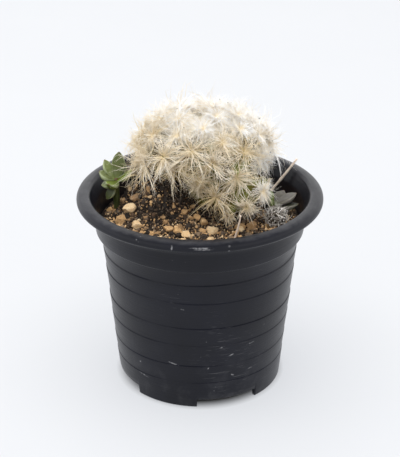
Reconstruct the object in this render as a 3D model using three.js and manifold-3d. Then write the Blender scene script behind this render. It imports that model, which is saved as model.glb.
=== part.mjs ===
// A woolly round cactus in a black grower's pot, with gritty soil, two small succulents, a grey woolly
// pup and two dry stalks. Millimetres, +Z up, origin on the floor under the middle of the pot, and the
// front of the plant towards -Y.
import * as THREE from "three";
import { mergeVertices } from "three/addons/utils/BufferGeometryUtils.js";
import Module from "manifold-3d";

// ---- Driving dimensions -------------------------------------------------------------------------

const POT = {
  height: 82,
  rimRadius: 50,
  rimInnerRadius: 44.6,
  lipDepth: 3.4,
  footRadius: 33.75, // outside of the wall at the floor
  taper: 0.101, // growth of the wall's outer radius for each millimetre of height
  wall: 1.5,
  // Moulded ledges that run round the wall: height, and how far each stands out
  ledges: [
    { height: 11.6, step: 0.15 },
    { height: 19.9, step: 0.15 },
    { height: 29.9, step: 0.15 },
    { height: 38.2, step: 0.25 },
    { height: 50, step: 0.25 },
    { height: 58.6, step: 0.3 },
  ],
  collarHeight: 66, // lower edge of the thick collar under the lip
  collarRadius: 42.5,
  baseUnderside: 3.9,
  baseThickness: 1.6,
  notchHeight: 3.4,
  notchCount: 4,
  notchWidth: THREE.MathUtils.degToRad(44),
  firstNotch: THREE.MathUtils.degToRad(-70), // from the front, positive towards +X
  drainRadius: 3.5,
  drainRing: 19,
};
const SEGMENTS = 40;
const GAP = 0.35; // clearance left between pieces that rest on each other

const SOIL = {
  level: 69, // height at the wall
  heapReach: 39, // the heaps have died out at this radius
  heapFade: 8, // over this distance
  ripple: { height: 0.25, perX: 0.5, perY: 0.43 },
  rings: 6,
};
// Heaps of soil: place, height and spread of each
const MOUNDS = [
  { x: -14, y: 5, height: 18, spread: 10 },
  { x: -25, y: 7, height: 13, spread: 6 },
  { x: 8, y: 11, height: 11, spread: 11 },
];
// Two in five stones are large. Sizes are radii, drawn between the smallest and the largest.
const STONES = {
  count: 96,
  everyFive: 2,
  large: [2.2, 3.7],
  small: [1.1, 1.8],
  long: [0.9, 1.2], // half the length, in stone sizes
  broad: [0.75, 1.05],
  high: 0.8,
  proud: 0.1, // how far the middle lies over the soil, in stone sizes
  fromWall: 0.5,
  fromPlants: 0.4,
  fromLobes: 0.8,
  tilt: 0.8,
};

// The green body under the wool is a few lobes grown into each other on a short woody neck.
// No areole of a lobe looks lower than its lowest value, and its spiral of areoles starts at its start.
const LOBES = [
  { centre: [1.5, 9, 96], radii: [21.5, 16.5, 13], lowest: -0.4, start: 0.48 },
  { centre: [12, 4, 92], radii: [11.5, 13, 14], lowest: -0.4, start: 0.84 },
  { centre: [15.2, -4, 84], radii: [9.2, 8, 9.5], lowest: -0.62, start: 0.36 },
  { centre: [-9.5, 3, 95.5], radii: [11, 11, 9.5], lowest: -0.4, start: 5.52 },
];
const NECK = { x: 3, y: 9, foot: 60, footRadius: 7.5, top: 90, topRadius: 11 };
const TUBERCLE = { length: 5.2, sunk: 1.4, rootRadius: 2.3, tipRadius: 1.15, sides: 5 };
const AREOLE_SPACING = 10.2;
const CROWDED = 0.72; // areoles stay this far apart, in spacings
const HEXAGONAL = Math.sqrt(3) / 2; // area of one place in a close packing, by its spacing squared
// Round each areole the spines are in turn nearly flat and more upright; lift is how far they rise.
const SPINE = { length: 7.6, radius: 0.5, perAreole: 5, sunk: 0.55, lifts: [0.35, 0.75] };
const GOLDEN_ANGLE = Math.PI * (3 - Math.sqrt(5));

// A small grey ball of short spines on a root of its own
const PUP = {
  centre: [31, -4, 71.4],
  radius: 4.2,
  spines: 30,
  spineLength: 2.4,
  spineRadius: 0.42,
  rootRadius: 1.5,
  rootDepth: 11,
};

// Leaf places and directions of the two small succulents, finished round the back. The upper faces look
// towards the middle of each plant.
const GREEN_SUCCULENT = {
  stem: { from: [-34.2, 7.4, 61], to: [-34.4, 7.1, 84.4], radius: 1.5 },
  middle: [-33.6, 4.1, 90.4],
  leaves: [
    { root: [-34.1, 7.6, 83.1], towards: [1.4, 1.8, 12.2], length: 12.4, width: 5.1 },
    { root: [-33.8, 7.9, 83.1], towards: [2.5, 1.8, 8.6], length: 9.1, width: 5 },
    { root: [-33.6, 6.6, 82.9], towards: [6.6, -1.6, 5.4], length: 8.8, width: 4.6 },
    { root: [-34.9, 6.8, 83.4], towards: [-6.6, -0.8, 3.8], length: 7.7, width: 5 },
    { root: [-34.8, 7.8, 83.3], towards: [-4.8, 1.9, 7.8], length: 9.4, width: 4.4 },
    { root: [-33.9, 6.2, 82.6], towards: [-3.2, -5, 0.9], length: 6.3, width: 5.6 },
    { root: [-35, 6.5, 82.8], towards: [-4.9, -0.5, -1.6], length: 5.6, width: 4.6 },
    { root: [-34.7, 6.3, 81.9], towards: [-3.3, -2.2, -6.1], length: 7.3, width: 3.8 },
    { root: [-34.3, 8, 82.6], towards: [0.3, 0.95, 0.35], length: 8.5, width: 4.8 },
  ],
};
const GREY_SUCCULENT = {
  stem: { from: [29.2, 5.4, 61], to: [29.8, 4.6, 73], radius: 1.4 },
  middle: [29.8, 4.6, 79],
  leaves: [
    { root: [30, 4.6, 73], towards: [9.8, 1.8, 4.6], length: 11, width: 5.6 },
    { root: [30.2, 3.6, 72], towards: [10.2, 0.7, 1.7], length: 10.6, width: 4.8 },
    { root: [29.5, 4, 72.6], towards: [-0.9, 1, 6.8], length: 7.4, width: 4.2 },
    { root: [30, 5.4, 72.8], towards: [5.5, 7.5, 4], length: 9, width: 4.6 },
    { root: [29.5, 5.4, 72.6], towards: [-2.5, 9.5, 2.5], length: 8.5, width: 4.4 },
  ],
};
const LEAF = {
  sides: 6,
  rings: 6,
  thickness: 0.62, // of its width
  upperFace: 0.5, // fullness of the upper face by the lower
  cupping: 0.9, // how far the upper face turns to the plant's middle
};

const STALKS = {
  stalk_front: { from: [12.2, -17.6, 64], to: [16, -20.8, 80.4], radius: 0.5 },
  stalk_back: { from: [25, 21, 66], to: [40.4, 21, 86.8], radius: 0.65 },
};
const STALK_BEND = [0.5, 0, 0.2];

// Free space round the spines of the cactus and the pup
const CLEAR = { ofSoil: 2.2, ofWall: 1.2, ofNeighbours: 0.7, ofStalks: 0.6, overRim: 1 };
// The cactus has no areole within this reach of the pup and of the grey plant
const ROOM = [
  { middle: PUP.centre, reach: 10.5 },
  { middle: GREY_SUCCULENT.stem.to, reach: 7 },
];

// ---- Small tools --------------------------------------------------------------------------------

const wasm = await Module();
wasm.setup();

// The same draw of numbers on every run
function seededRandom(seed) {
  let state = seed;
  return () => {
    state = (state + 0x6d2b79f5) | 0;
    let t = Math.imul(state ^ (state >>> 15), 1 | state);
    t = (t + Math.imul(t ^ (t >>> 7), 61 | t)) ^ t;
    return ((t ^ (t >>> 14)) >>> 0) / 4294967296;
  };
}

function solidOf(geometry) {
  const bare = geometry.clone();
  bare.deleteAttribute("normal");
  bare.deleteAttribute("uv");
  const merged = mergeVertices(bare, 1e-4);
  return new wasm.Manifold(
    new wasm.Mesh({
      numProp: 3,
      vertProperties: merged.attributes.position.array,
      triVerts: new Uint32Array(merged.index.array),
    }),
  );
}

function geometryOf(solid) {
  const mesh = solid.getMesh();
  const geometry = new THREE.BufferGeometry();
  geometry.setAttribute("position", new THREE.BufferAttribute(mesh.vertProperties, 3));
  geometry.setIndex(new THREE.BufferAttribute(mesh.triVerts, 1));
  return geometry;
}

function fused(geometries) {
  return wasm.Manifold.union(geometries.map(solidOf));
}

// Leaves out the crumbs that a cut has set loose
function largestPiece(solid) {
  return solid.decompose().reduce((best, piece) => (piece.volume() > best.volume() ? piece : best));
}

const vector = (point) => new THREE.Vector3(...point);

// Turns a geometry that stands along +Z at the origin so that it stands along a direction at a place.
function standOn(geometry, place, direction) {
  const turn = new THREE.Quaternion().setFromUnitVectors(
    new THREE.Vector3(0, 0, 1),
    direction.clone().normalize(),
  );
  return geometry.applyQuaternion(turn).translate(place.x, place.y, place.z);
}

function distanceToSegment(point, from, to) {
  const nearest = new THREE.Line3(from, to).closestPointToPoint(point, true, new THREE.Vector3());
  return nearest.distanceTo(point);
}

// True if the straight needle comes within reach of any capsule {from, to, radius}.
function touches(needle, capsules, margin) {
  const steps = 6; // enough that no capsule fits between two points tried
  for (let i = 0; i <= steps; i += 1) {
    const point = needle.root.clone().lerp(needle.tip, i / steps);
    if (capsules.some((c) => distanceToSegment(point, c.from, c.to) < c.radius + margin)) return true;
  }
  return false;
}

// ---- Pot ----------------------------------------------------------------------------------------

const wallRadius = (z) => POT.footRadius + POT.taper * z;

// The inside from the base up to the lip, as [radius, height]
const BASE_TOP = POT.baseUnderside + POT.baseThickness;
const INSIDE = [
  [wallRadius(BASE_TOP) - POT.wall, BASE_TOP],
  [wallRadius(POT.collarHeight) - POT.wall, POT.collarHeight - 1],
  [POT.collarRadius - POT.wall, POT.collarHeight + 2],
  [POT.collarRadius - 0.3, POT.height - 6],
  [POT.rimInnerRadius - 0.1, POT.height - 0.7],
];

function insideRadius(z) {
  const above = INSIDE.findIndex(([, height]) => height >= z);
  if (above === -1) return POT.rimInnerRadius;
  if (above === 0) return INSIDE[0][0];
  const [[lowRadius, low], [highRadius, high]] = [INSIDE[above - 1], INSIDE[above]];
  return THREE.MathUtils.mapLinear(z, low, high, lowRadius, highRadius);
}

// The wall from the floor to the collar: each band ends in a small ledge that faces up.
function steppedWall() {
  const points = [[wallRadius(0), 0]];
  for (const { height, step } of POT.ledges) {
    points.push([wallRadius(height) + step / 2, height]);
    points.push([wallRadius(height) - step / 2, height + 0.3]);
  }
  return points;
}

function potProfile() {
  const h = POT.height;
  const rim = POT.rimRadius;
  const lip = h - POT.lipDepth;
  const collar = POT.collarHeight;
  return [
    [0, POT.baseUnderside],
    [wallRadius(0) - POT.wall, POT.baseUnderside],
    [wallRadius(0) - POT.wall, 0],
    ...steppedWall(),
    [wallRadius(collar) + 0.6, collar - 0.5],
    [POT.collarRadius, collar + 0.2],
    [POT.collarRadius + 0.9, collar + 9],
    [POT.collarRadius + 2.9, lip - 1.4],
    [rim - 0.6, lip - 0.3],
    [rim, lip + 0.4],
    [rim, h - 1.3],
    [rim - 0.4, h - 0.5],
    [rim - 1.5, h],
    [POT.rimInnerRadius + 0.8, h],
    ...INSIDE.toReversed(),
    [0, BASE_TOP],
  ];
}

function notchCutter(angle) {
  const half = POT.notchWidth / 2;
  const inner = POT.footRadius - 4;
  const outer = POT.footRadius + 4;
  const middle = angle - Math.PI / 2;
  const sector = new THREE.Shape();
  sector.absarc(0, 0, outer, middle - half, middle + half, false);
  sector.absarc(0, 0, inner, middle + half, middle - half, true);
  sector.closePath();
  return new THREE.ExtrudeGeometry(sector, {
    depth: POT.notchHeight + 1,
    bevelEnabled: false,
    curveSegments: 8,
  }).translate(0, 0, -1);
}

function drainCutter(x, y) {
  return new THREE.CylinderGeometry(POT.drainRadius, POT.drainRadius, 6, 14)
    .rotateX(Math.PI / 2)
    .translate(x, y, (POT.baseUnderside + BASE_TOP) / 2);
}

function makePot() {
  const profile = potProfile().map(([r, z]) => new THREE.Vector2(r, z));
  const body = new THREE.LatheGeometry(profile, SEGMENTS).rotateX(Math.PI / 2);
  const cutters = [drainCutter(0, 0)];
  for (let i = 0; i < POT.notchCount; i += 1) {
    const angle = POT.firstNotch + (i * 2 * Math.PI) / POT.notchCount;
    cutters.push(notchCutter(angle));
    const away = angle + Math.PI / POT.notchCount;
    cutters.push(drainCutter(POT.drainRing * Math.sin(away), -POT.drainRing * Math.cos(away)));
  }
  return geometryOf(solidOf(body).subtract(fused(cutters)));
}

// ---- Succulents, stalks ---------------------------------------------------------------------------

// Half the width of a leaf along its length, from 0 at the root to 1 at the tip: widest past its middle
function leafSwell(t) {
  const root = 0.35 * (1 - t);
  const blade = 0.93 * Math.sin(Math.PI * t ** 1.35) ** 0.8;
  return root + blade;
}

// A fat pointed leaf along +Z with its flat upper face towards +Y.
function leafGeometry(length, width) {
  const { sides, rings, thickness, upperFace } = LEAF;
  const points = [0, 0, 0];
  for (let i = 1; i < rings; i += 1) {
    const t = i / rings;
    const half = (width / 2) * leafSwell(t);
    for (let j = 0; j < sides; j += 1) {
      const angle = (2 * Math.PI * j) / sides;
      const y = Math.sin(angle) * half * thickness;
      points.push(Math.cos(angle) * half, y > 0 ? y * upperFace : y, length * t);
    }
  }
  points.push(0, 0, length);
  const last = points.length / 3 - 1;
  const index = [];
  const at = (ring, side) => 1 + (ring - 1) * sides + (side % sides);
  for (let j = 0; j < sides; j += 1) {
    index.push(0, at(1, j + 1), at(1, j));
    for (let i = 1; i < rings - 1; i += 1) {
      index.push(at(i, j), at(i, j + 1), at(i + 1, j));
      index.push(at(i, j + 1), at(i + 1, j + 1), at(i + 1, j));
    }
    index.push(at(rings - 1, j), at(rings - 1, j + 1), last);
  }
  const geometry = new THREE.BufferGeometry();
  geometry.setAttribute("position", new THREE.Float32BufferAttribute(points, 3));
  geometry.setIndex(index);
  return geometry;
}

function leafCapsules(plant) {
  const capsules = plant.leaves.map((leaf) => ({
    from: vector(leaf.root),
    to: vector(leaf.root).addScaledVector(vector(leaf.towards).normalize(), leaf.length),
    radius: leaf.width / 2,
  }));
  const { from, to, radius } = plant.stem;
  return [...capsules, { from: vector(from), to: vector(to), radius }];
}

// A leaf's upper face looks up, and towards the plant's middle where the leaf itself stands up.
function placedLeaf(leaf, middle) {
  const along = vector(leaf.towards).normalize();
  const inwards = vector(middle).sub(vector(leaf.root).addScaledVector(along, leaf.length / 2));
  const face = new THREE.Vector3(0, 0, 1).addScaledVector(inwards.normalize(), LEAF.cupping);
  const across = new THREE.Vector3().crossVectors(face, along).normalize();
  const up = new THREE.Vector3().crossVectors(along, across);
  const place = new THREE.Matrix4().makeBasis(across, up, along).setPosition(...leaf.root);
  return leafGeometry(leaf.length, leaf.width).applyMatrix4(place);
}

function makeSucculent(plant) {
  const foot = vector(plant.stem.from);
  const along = vector(plant.stem.to).sub(foot);
  const stem = new THREE.CylinderGeometry(plant.stem.radius * 0.8, plant.stem.radius, along.length(), 8)
    .rotateX(Math.PI / 2)
    .translate(0, 0, along.length() / 2);
  const leaves = plant.leaves.map((leaf) => placedLeaf(leaf, plant.middle));
  return geometryOf(fused([standOn(stem, foot, along), ...leaves]));
}

function makeStalk({ from, to, radius }) {
  const start = vector(from);
  const end = vector(to);
  const bend = start.clone().lerp(end, 0.5).add(vector(STALK_BEND));
  const path = new THREE.CatmullRomCurve3([start, bend, end]);
  const section = new THREE.Shape().absarc(0, 0, radius, 0, 2 * Math.PI, false);
  return new THREE.ExtrudeGeometry(section, { steps: 6, curveSegments: 3, extrudePath: path });
}

// ---- Cactus ---------------------------------------------------------------------------------------

function lobeGeometry({ centre, radii }, detail, grown = 0) {
  const size = radii.map((radius) => radius + grown);
  return new THREE.IcosahedronGeometry(1, detail).scale(...size).translate(...centre);
}

// Below 1 inside the lobe once its surface is grown by some millimetres
function lobeDepth(lobe, point, grown) {
  const [dx, dy, dz] = [0, 1, 2].map(
    (i) => (point.getComponent(i) - lobe.centre[i]) / (lobe.radii[i] + grown),
  );
  return Math.hypot(dx, dy, dz);
}

// Areoles sit in a golden-angle spiral from the crown of each lobe, as on the living plant, and one that
// would come out inside another lobe, too near an earlier one, too low or against a neighbour is left out.
function areoles() {
  const found = [];
  for (const lobe of LOBES) {
    const [a, b, c] = lobe.radii.map((radius) => radius + TUBERCLE.length);
    const area = 4 * Math.PI * Math.cbrt(a * b * c) ** 2;
    const count = Math.round(area / (AREOLE_SPACING ** 2 * HEXAGONAL));
    for (let i = 0; i < count; i += 1) {
      const z = 1 - (2 * i + 1) / count;
      const around = i * GOLDEN_ANGLE + lobe.start;
      const level = Math.sqrt(1 - z * z);
      const unit = new THREE.Vector3(level * Math.cos(around), level * Math.sin(around), z);
      const root = unit.clone().multiply(vector(lobe.radii)).add(vector(lobe.centre));
      const normal = unit.clone().divide(vector(lobe.radii)).normalize();
      const tip = root.clone().addScaledVector(normal, TUBERCLE.length);
      const hidden = LOBES.some((other) => other !== lobe && lobeDepth(other, tip, 2) < 1);
      const crowded = found.some((other) => other.tip.distanceTo(tip) < AREOLE_SPACING * CROWDED);
      const low = tip.z < soilHeight(tip.x, tip.y) + CLEAR.ofSoil || normal.z < lobe.lowest;
      const taken = ROOM.some(({ middle, reach }) => vector(middle).distanceTo(tip) < reach);
      if (!hidden && !crowded && !low && !taken) found.push({ root, normal, tip });
    }
  }
  return found;
}

function tubercleGeometry({ root, normal }) {
  const length = TUBERCLE.length + TUBERCLE.sunk;
  const cone = new THREE.CylinderGeometry(
    TUBERCLE.tipRadius,
    TUBERCLE.rootRadius,
    length,
    TUBERCLE.sides,
  )
    .rotateX(Math.PI / 2)
    .translate(0, 0, length / 2 - TUBERCLE.sunk);
  return standOn(cone, root, normal);
}

// A star of spines round each areole
function starNeedles({ tip, normal }, turn) {
  const side = new THREE.Vector3(0, 0, 1).cross(normal);
  if (side.length() < 0.1) side.set(1, 0, 0);
  side.normalize();
  const up = new THREE.Vector3().crossVectors(normal, side);
  const needles = [];
  for (let i = 0; i < SPINE.perAreole; i += 1) {
    const around = turn + (2 * Math.PI * i) / SPINE.perAreole;
    const lift = SPINE.lifts[i % 2];
    const direction = side
      .clone()
      .multiplyScalar(Math.cos(around))
      .addScaledVector(up, Math.sin(around))
      .addScaledVector(normal, lift)
      .normalize();
    needles.push({
      root: tip.clone().addScaledVector(normal, -SPINE.sunk).addScaledVector(direction, -SPINE.sunk),
      tip: tip.clone().addScaledVector(direction, SPINE.length),
    });
  }
  return needles;
}

function needleGeometry({ root, tip }, radius) {
  const along = tip.clone().sub(root);
  const cone = new THREE.ConeGeometry(radius, along.length(), 3)
    .rotateX(Math.PI / 2)
    .translate(0, 0, along.length() / 2);
  return standOn(cone, root, along);
}

// True while a needle stays above the soil and clear of the pot's inside.
function needleIsFree({ tip }) {
  const overSoil = tip.z > soilHeight(tip.x, tip.y) + CLEAR.ofSoil;
  const overPot = tip.z > POT.height + CLEAR.overRim;
  return overSoil && (overPot || Math.hypot(tip.x, tip.y) < insideRadius(tip.z) - CLEAR.ofWall);
}

function stalkCapsules() {
  return Object.values(STALKS).map(({ from, to, radius }) => ({
    from: vector(from),
    to: vector(to),
    radius: radius + CLEAR.ofStalks,
  }));
}

function cactusNeedles(allAreoles) {
  const pup = { from: vector(PUP.centre), to: vector(PUP.centre), radius: PUP.radius + PUP.spineLength };
  const neighbours = [
    pup,
    ...leafCapsules(GREEN_SUCCULENT),
    ...leafCapsules(GREY_SUCCULENT),
    ...stalkCapsules(),
  ];
  return allAreoles
    .flatMap((areole, i) => starNeedles(areole, i * GOLDEN_ANGLE))
    .filter((needle) => needleIsFree(needle) && !touches(needle, neighbours, CLEAR.ofNeighbours));
}

function makeCactus(allAreoles, needles) {
  const height = NECK.top - NECK.foot;
  const neck = new THREE.CylinderGeometry(NECK.topRadius, NECK.footRadius, height, 16)
    .rotateX(Math.PI / 2)
    .translate(NECK.x, NECK.y, NECK.foot + height / 2);
  return geometryOf(
    fused([
      ...LOBES.map((lobe, i) => lobeGeometry(lobe, i === 0 ? 3 : 2)),
      neck,
      ...allAreoles.map(tubercleGeometry),
      ...needles.map((needle) => needleGeometry(needle, SPINE.radius)),
    ]),
  );
}

// Spines over the upper three quarters of the pup
function pupNeedles() {
  const centre = vector(PUP.centre);
  const needles = [];
  for (let i = 0; i < PUP.spines; i += 1) {
    const z = 1 - (1.5 * (i + 0.5)) / PUP.spines;
    const level = Math.sqrt(1 - z * z);
    const around = i * GOLDEN_ANGLE;
    const normal = new THREE.Vector3(level * Math.cos(around), level * Math.sin(around), z);
    needles.push({
      root: centre.clone().addScaledVector(normal, PUP.radius - 1),
      tip: centre.clone().addScaledVector(normal, PUP.radius + PUP.spineLength),
    });
  }
  return needles.filter(needleIsFree);
}

function makePup(needles) {
  const ball = new THREE.IcosahedronGeometry(PUP.radius, 1).translate(...PUP.centre);
  const [x, y, z] = PUP.centre;
  const root = new THREE.CylinderGeometry(PUP.rootRadius, PUP.rootRadius * 0.7, PUP.rootDepth, 8)
    .rotateX(Math.PI / 2)
    .translate(x, y, z - PUP.rootDepth / 2);
  const spikes = needles.map((needle) => needleGeometry(needle, PUP.spineRadius));
  return geometryOf(fused([ball, root, ...spikes]));
}

// ---- Soil -----------------------------------------------------------------------------------------

function soilHeight(x, y) {
  const rise = MOUNDS.map((m) => {
    const away = Math.hypot(x - m.x, y - m.y) / m.spread;
    return m.height * Math.exp(-0.5 * away * away);
  });
  const fade = THREE.MathUtils.clamp((SOIL.heapReach - Math.hypot(x, y)) / SOIL.heapFade, 0, 1);
  const ripple = SOIL.ripple.height * Math.sin(x * SOIL.ripple.perX) * Math.cos(y * SOIL.ripple.perY);
  return SOIL.level + Math.max(...rise) * fade + ripple;
}

// The fill: rings of points on the surface, then the side down the pot's inside and a flat bottom
function fillGeometry() {
  const bottom = BASE_TOP + GAP;
  const rows = [];
  for (let i = 1; i < SOIL.rings; i += 1) {
    rows.push({ radius: ((insideRadius(SOIL.level) - GAP) * i) / SOIL.rings, height: soilHeight });
  }
  for (const z of [SOIL.level, POT.collarHeight + 2, POT.collarHeight - 1, bottom]) {
    rows.push({ radius: insideRadius(z) - GAP, height: () => z });
  }
  const points = [0, 0, soilHeight(0, 0)];
  for (const { radius, height } of rows) {
    for (let j = 0; j < SEGMENTS; j += 1) {
      const around = (2 * Math.PI * j) / SEGMENTS;
      const x = radius * Math.sin(around);
      const y = radius * Math.cos(around);
      points.push(x, y, height(x, y));
    }
  }
  points.push(0, 0, bottom);
  const last = points.length / 3 - 1;
  const index = [];
  const at = (row, j) => 1 + row * SEGMENTS + (j % SEGMENTS);
  for (let j = 0; j < SEGMENTS; j += 1) {
    index.push(0, at(0, j + 1), at(0, j));
    for (let row = 0; row < rows.length - 1; row += 1) {
      index.push(at(row, j), at(row, j + 1), at(row + 1, j));
      index.push(at(row, j + 1), at(row + 1, j + 1), at(row + 1, j));
    }
    index.push(at(rows.length - 1, j), at(rows.length - 1, j + 1), last);
  }
  const geometry = new THREE.BufferGeometry();
  geometry.setAttribute("position", new THREE.Float32BufferAttribute(points, 3));
  geometry.setIndex(index);
  return geometry;
}

// Stones and grains lie in a golden-angle spread over the surface, half sunk, clear of the plants.
function stoneGeometries(neighbours) {
  const random = seededRandom(7);
  const between = ([least, most]) => THREE.MathUtils.lerp(least, most, random());
  const placed = [];
  for (let i = 0; i < STONES.count; i += 1) {
    const large = i % 5 < STONES.everyFive;
    const size = between(large ? STONES.large : STONES.small);
    const reach = insideRadius(SOIL.level) - GAP - size - STONES.fromWall;
    const away = reach * Math.sqrt((i + 0.5) / STONES.count);
    const around = i * GOLDEN_ANGLE + between([0, 0.3]);
    const x = away * Math.sin(around);
    const y = away * Math.cos(around);
    const centre = new THREE.Vector3(x, y, soilHeight(x, y) + size * STONES.proud);
    const shape = large ? new THREE.IcosahedronGeometry(1, 0) : new THREE.OctahedronGeometry(1, 0);
    shape.scale(size * between(STONES.long), size * between(STONES.broad), size * STONES.high);
    shape.rotateZ(between([0, Math.PI])).rotateX(between([-0.5, 0.5]) * STONES.tilt);
    const farthest = size * STONES.long[1];
    const touching = neighbours.some(
      (c) => distanceToSegment(centre, c.from, c.to) < c.radius + farthest + STONES.fromPlants,
    );
    const under = LOBES.some((lobe) => lobeDepth(lobe, centre, size + STONES.fromLobes) < 1);
    if (!touching && !under) placed.push(shape.translate(centre.x, centre.y, centre.z));
  }
  return placed;
}

// A plain hole for a stem that stands in the soil
function socket(from, to, radius) {
  const start = vector(from);
  const along = vector(to).sub(start);
  const length = along.length() + GAP;
  const hole = new THREE.CylinderGeometry(radius + GAP, radius + GAP, length, 16)
    .rotateX(Math.PI / 2)
    .translate(0, 0, length / 2 - GAP);
  return standOn(hole, start, along);
}

function makeSoil(neighbours) {
  const [pupX, pupY, pupZ] = PUP.centre;
  const holes = [
    socket([NECK.x, NECK.y, NECK.foot], [NECK.x, NECK.y, NECK.top + 10], NECK.topRadius),
    socket([pupX, pupY, pupZ - PUP.rootDepth], PUP.centre, PUP.rootRadius),
    ...[GREEN_SUCCULENT, GREY_SUCCULENT].map(({ stem }) => socket(stem.from, stem.to, stem.radius)),
    ...Object.values(STALKS).map(({ from, to, radius }) => socket(from, to, radius + 0.5)),
  ];
  const hollows = [
    new THREE.IcosahedronGeometry(PUP.radius + 2 * GAP, 1).translate(pupX, pupY, pupZ),
    ...LOBES.map((lobe) => lobeGeometry(lobe, 2, 2 * GAP)),
  ];
  const filled = fused([fillGeometry(), ...stoneGeometries(neighbours)]);
  return geometryOf(largestPiece(filled.subtract(fused([...holes, ...hollows]))));
}

// ---- Assembly -------------------------------------------------------------------------------------

const finish = (color, roughness) => new THREE.MeshStandardMaterial({ color, roughness, metalness: 0 });
const MATERIALS = {
  pot: finish(0x26272b, 0.5),
  soil: finish(0x6d5138, 0.95),
  cactus: finish(0xd9cfb8, 0.9),
  pup: finish(0x9a948a, 0.9),
  green: finish(0x4f7a25, 0.5),
  grey: finish(0x6e7566, 0.55),
  straw: finish(0xcfae96, 0.8),
};

function named(name, geometry, material) {
  const mesh = new THREE.Mesh(geometry, material);
  mesh.name = name;
  return mesh;
}

const allAreoles = areoles();
const spines = cactusNeedles(allAreoles);
const pupSpines = pupNeedles();

// What the stones keep clear of
const plantCapsules = [
  ...[...spines, ...pupSpines].map(({ root, tip }) => ({ from: root, to: tip, radius: 0.5 })),
  ...allAreoles.map(({ root, tip }) => ({ from: root, to: tip, radius: TUBERCLE.rootRadius })),
  ...leafCapsules(GREEN_SUCCULENT),
  ...leafCapsules(GREY_SUCCULENT),
  ...stalkCapsules(),
  { from: vector(PUP.centre), to: vector(PUP.centre), radius: PUP.radius },
];

const plant = new THREE.Group();
plant.add(
  named("pot", makePot(), MATERIALS.pot),
  named("soil", makeSoil(plantCapsules), MATERIALS.soil),
  named("cactus", makeCactus(allAreoles, spines), MATERIALS.cactus),
  named("cactus_pup", makePup(pupSpines), MATERIALS.pup),
  named("green_succulent", makeSucculent(GREEN_SUCCULENT), MATERIALS.green),
  named("grey_succulent", makeSucculent(GREY_SUCCULENT), MATERIALS.grey),
  ...Object.entries(STALKS).map(([name, stalk]) => named(name, makeStalk(stalk), MATERIALS.straw)),
);

export default plant;
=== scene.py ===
"""A woolly round cactus in a black grower's pot, with the gritty soil, small succulents and dry stalks
that grow and lie in it. Metres, +Z up, the front of the plant towards -Y.

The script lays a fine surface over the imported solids: it repeats their driving dimensions and their
rules for lobes, areoles and heaps, and adds hairs, grains and colour."""

import math

import bmesh
import bpy
import numpy as np
from bpy.props import FloatProperty, FloatVectorProperty, IntProperty, PointerProperty
from mathutils import Matrix, Vector, noise


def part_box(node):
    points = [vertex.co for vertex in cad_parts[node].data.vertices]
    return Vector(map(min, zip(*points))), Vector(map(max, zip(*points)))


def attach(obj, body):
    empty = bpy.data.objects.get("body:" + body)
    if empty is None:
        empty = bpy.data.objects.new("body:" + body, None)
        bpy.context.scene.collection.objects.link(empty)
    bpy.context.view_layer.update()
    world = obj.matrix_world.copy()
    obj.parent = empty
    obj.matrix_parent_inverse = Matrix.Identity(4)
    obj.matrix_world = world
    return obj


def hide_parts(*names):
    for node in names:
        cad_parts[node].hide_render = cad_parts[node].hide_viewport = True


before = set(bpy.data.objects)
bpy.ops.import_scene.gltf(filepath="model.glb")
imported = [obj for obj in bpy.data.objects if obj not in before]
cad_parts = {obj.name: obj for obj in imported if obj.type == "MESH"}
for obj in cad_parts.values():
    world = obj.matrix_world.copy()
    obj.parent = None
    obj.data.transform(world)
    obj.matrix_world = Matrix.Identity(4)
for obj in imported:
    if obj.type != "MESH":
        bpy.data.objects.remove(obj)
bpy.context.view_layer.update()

bl_info = {
    "name": "Potted Round Cactus",
    "version": (1, 0, 0),
    "blender": (4, 5, 0),
    "location": "View3D > Sidebar > Cactus",
    "description": "Builds a woolly round cactus in a black plastic pot with gritty soil",
    "category": "Add Mesh",
}

# ---- Driving dimensions -------------------------------------------------------------------------

MM = 0.001
BODY = "root"
SOFT_HAIRS = 0.6  # share of hairs that a soft star has more than others
SNOW_FROM, SNOW_WHOLE = 0.75, 0.95  # between these tones a hair goes from white to snow white
PIECE_LIMIT = 195_000  # triangles in one piece of wool
HAIR_SIDES, HAIR_STEPS = 3, 7
# On a grain the map's second place is painted shade: it rises where a face looks up
BAKE_MAP = "OFBake"  # UV map that carries tone and place along a hair, grain or leaf
GOLDEN_ANGLE = math.pi * (3 - math.sqrt(5))
HEXAGONAL = math.sqrt(3) / 2  # area of one place in a close packing, by its spacing squared

# Pot, in millimetres
POT_SEGMENTS = 192
FOOT_RADIUS = 33.75
TAPER = 0.101
LEDGES = ((11.6, 0.15), (19.9, 0.15), (29.9, 0.15), (38.2, 0.25), (50, 0.25), (58.6, 0.3))
COLLAR_HEIGHT = 66
COLLAR_RADIUS = 42.5
LIP_DEPTH = 3.4
RIM_INNER_RADIUS = 44.6
BASE_UNDERSIDE = 3.9
BASE_THICKNESS = 1.6
BASE_TOP = BASE_UNDERSIDE + BASE_THICKNESS
NOTCH_COUNT = 4
NOTCH_PITCH = 2 * math.pi / NOTCH_COUNT
NOTCH_HEIGHT = 3.4
NOTCH_WIDTH = math.radians(44)
NOTCH_CORNER = math.radians(0.5)
FIRST_NOTCH = math.radians(-70)
DRAIN_RADIUS = 3.5
DRAIN_RING = 19
DRILL_LENGTH = 6

# Soil, in millimetres: heaps as place, height and spread
MOUNDS = ((-14, 5, 18, 10), (-25, 7, 13, 6), (8, 11, 11, 11))
HEAP_REACH = 39
HEAP_FADE = 8
SOIL_CLEARANCE = 0.15
HIGH_HEAP = 6  # where the soil is heaped this far above its level, its grains are darkest
PEBBLE_LIFT = 0.12  # how far a pebble's centre lies above the soil, by its size across

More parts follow.
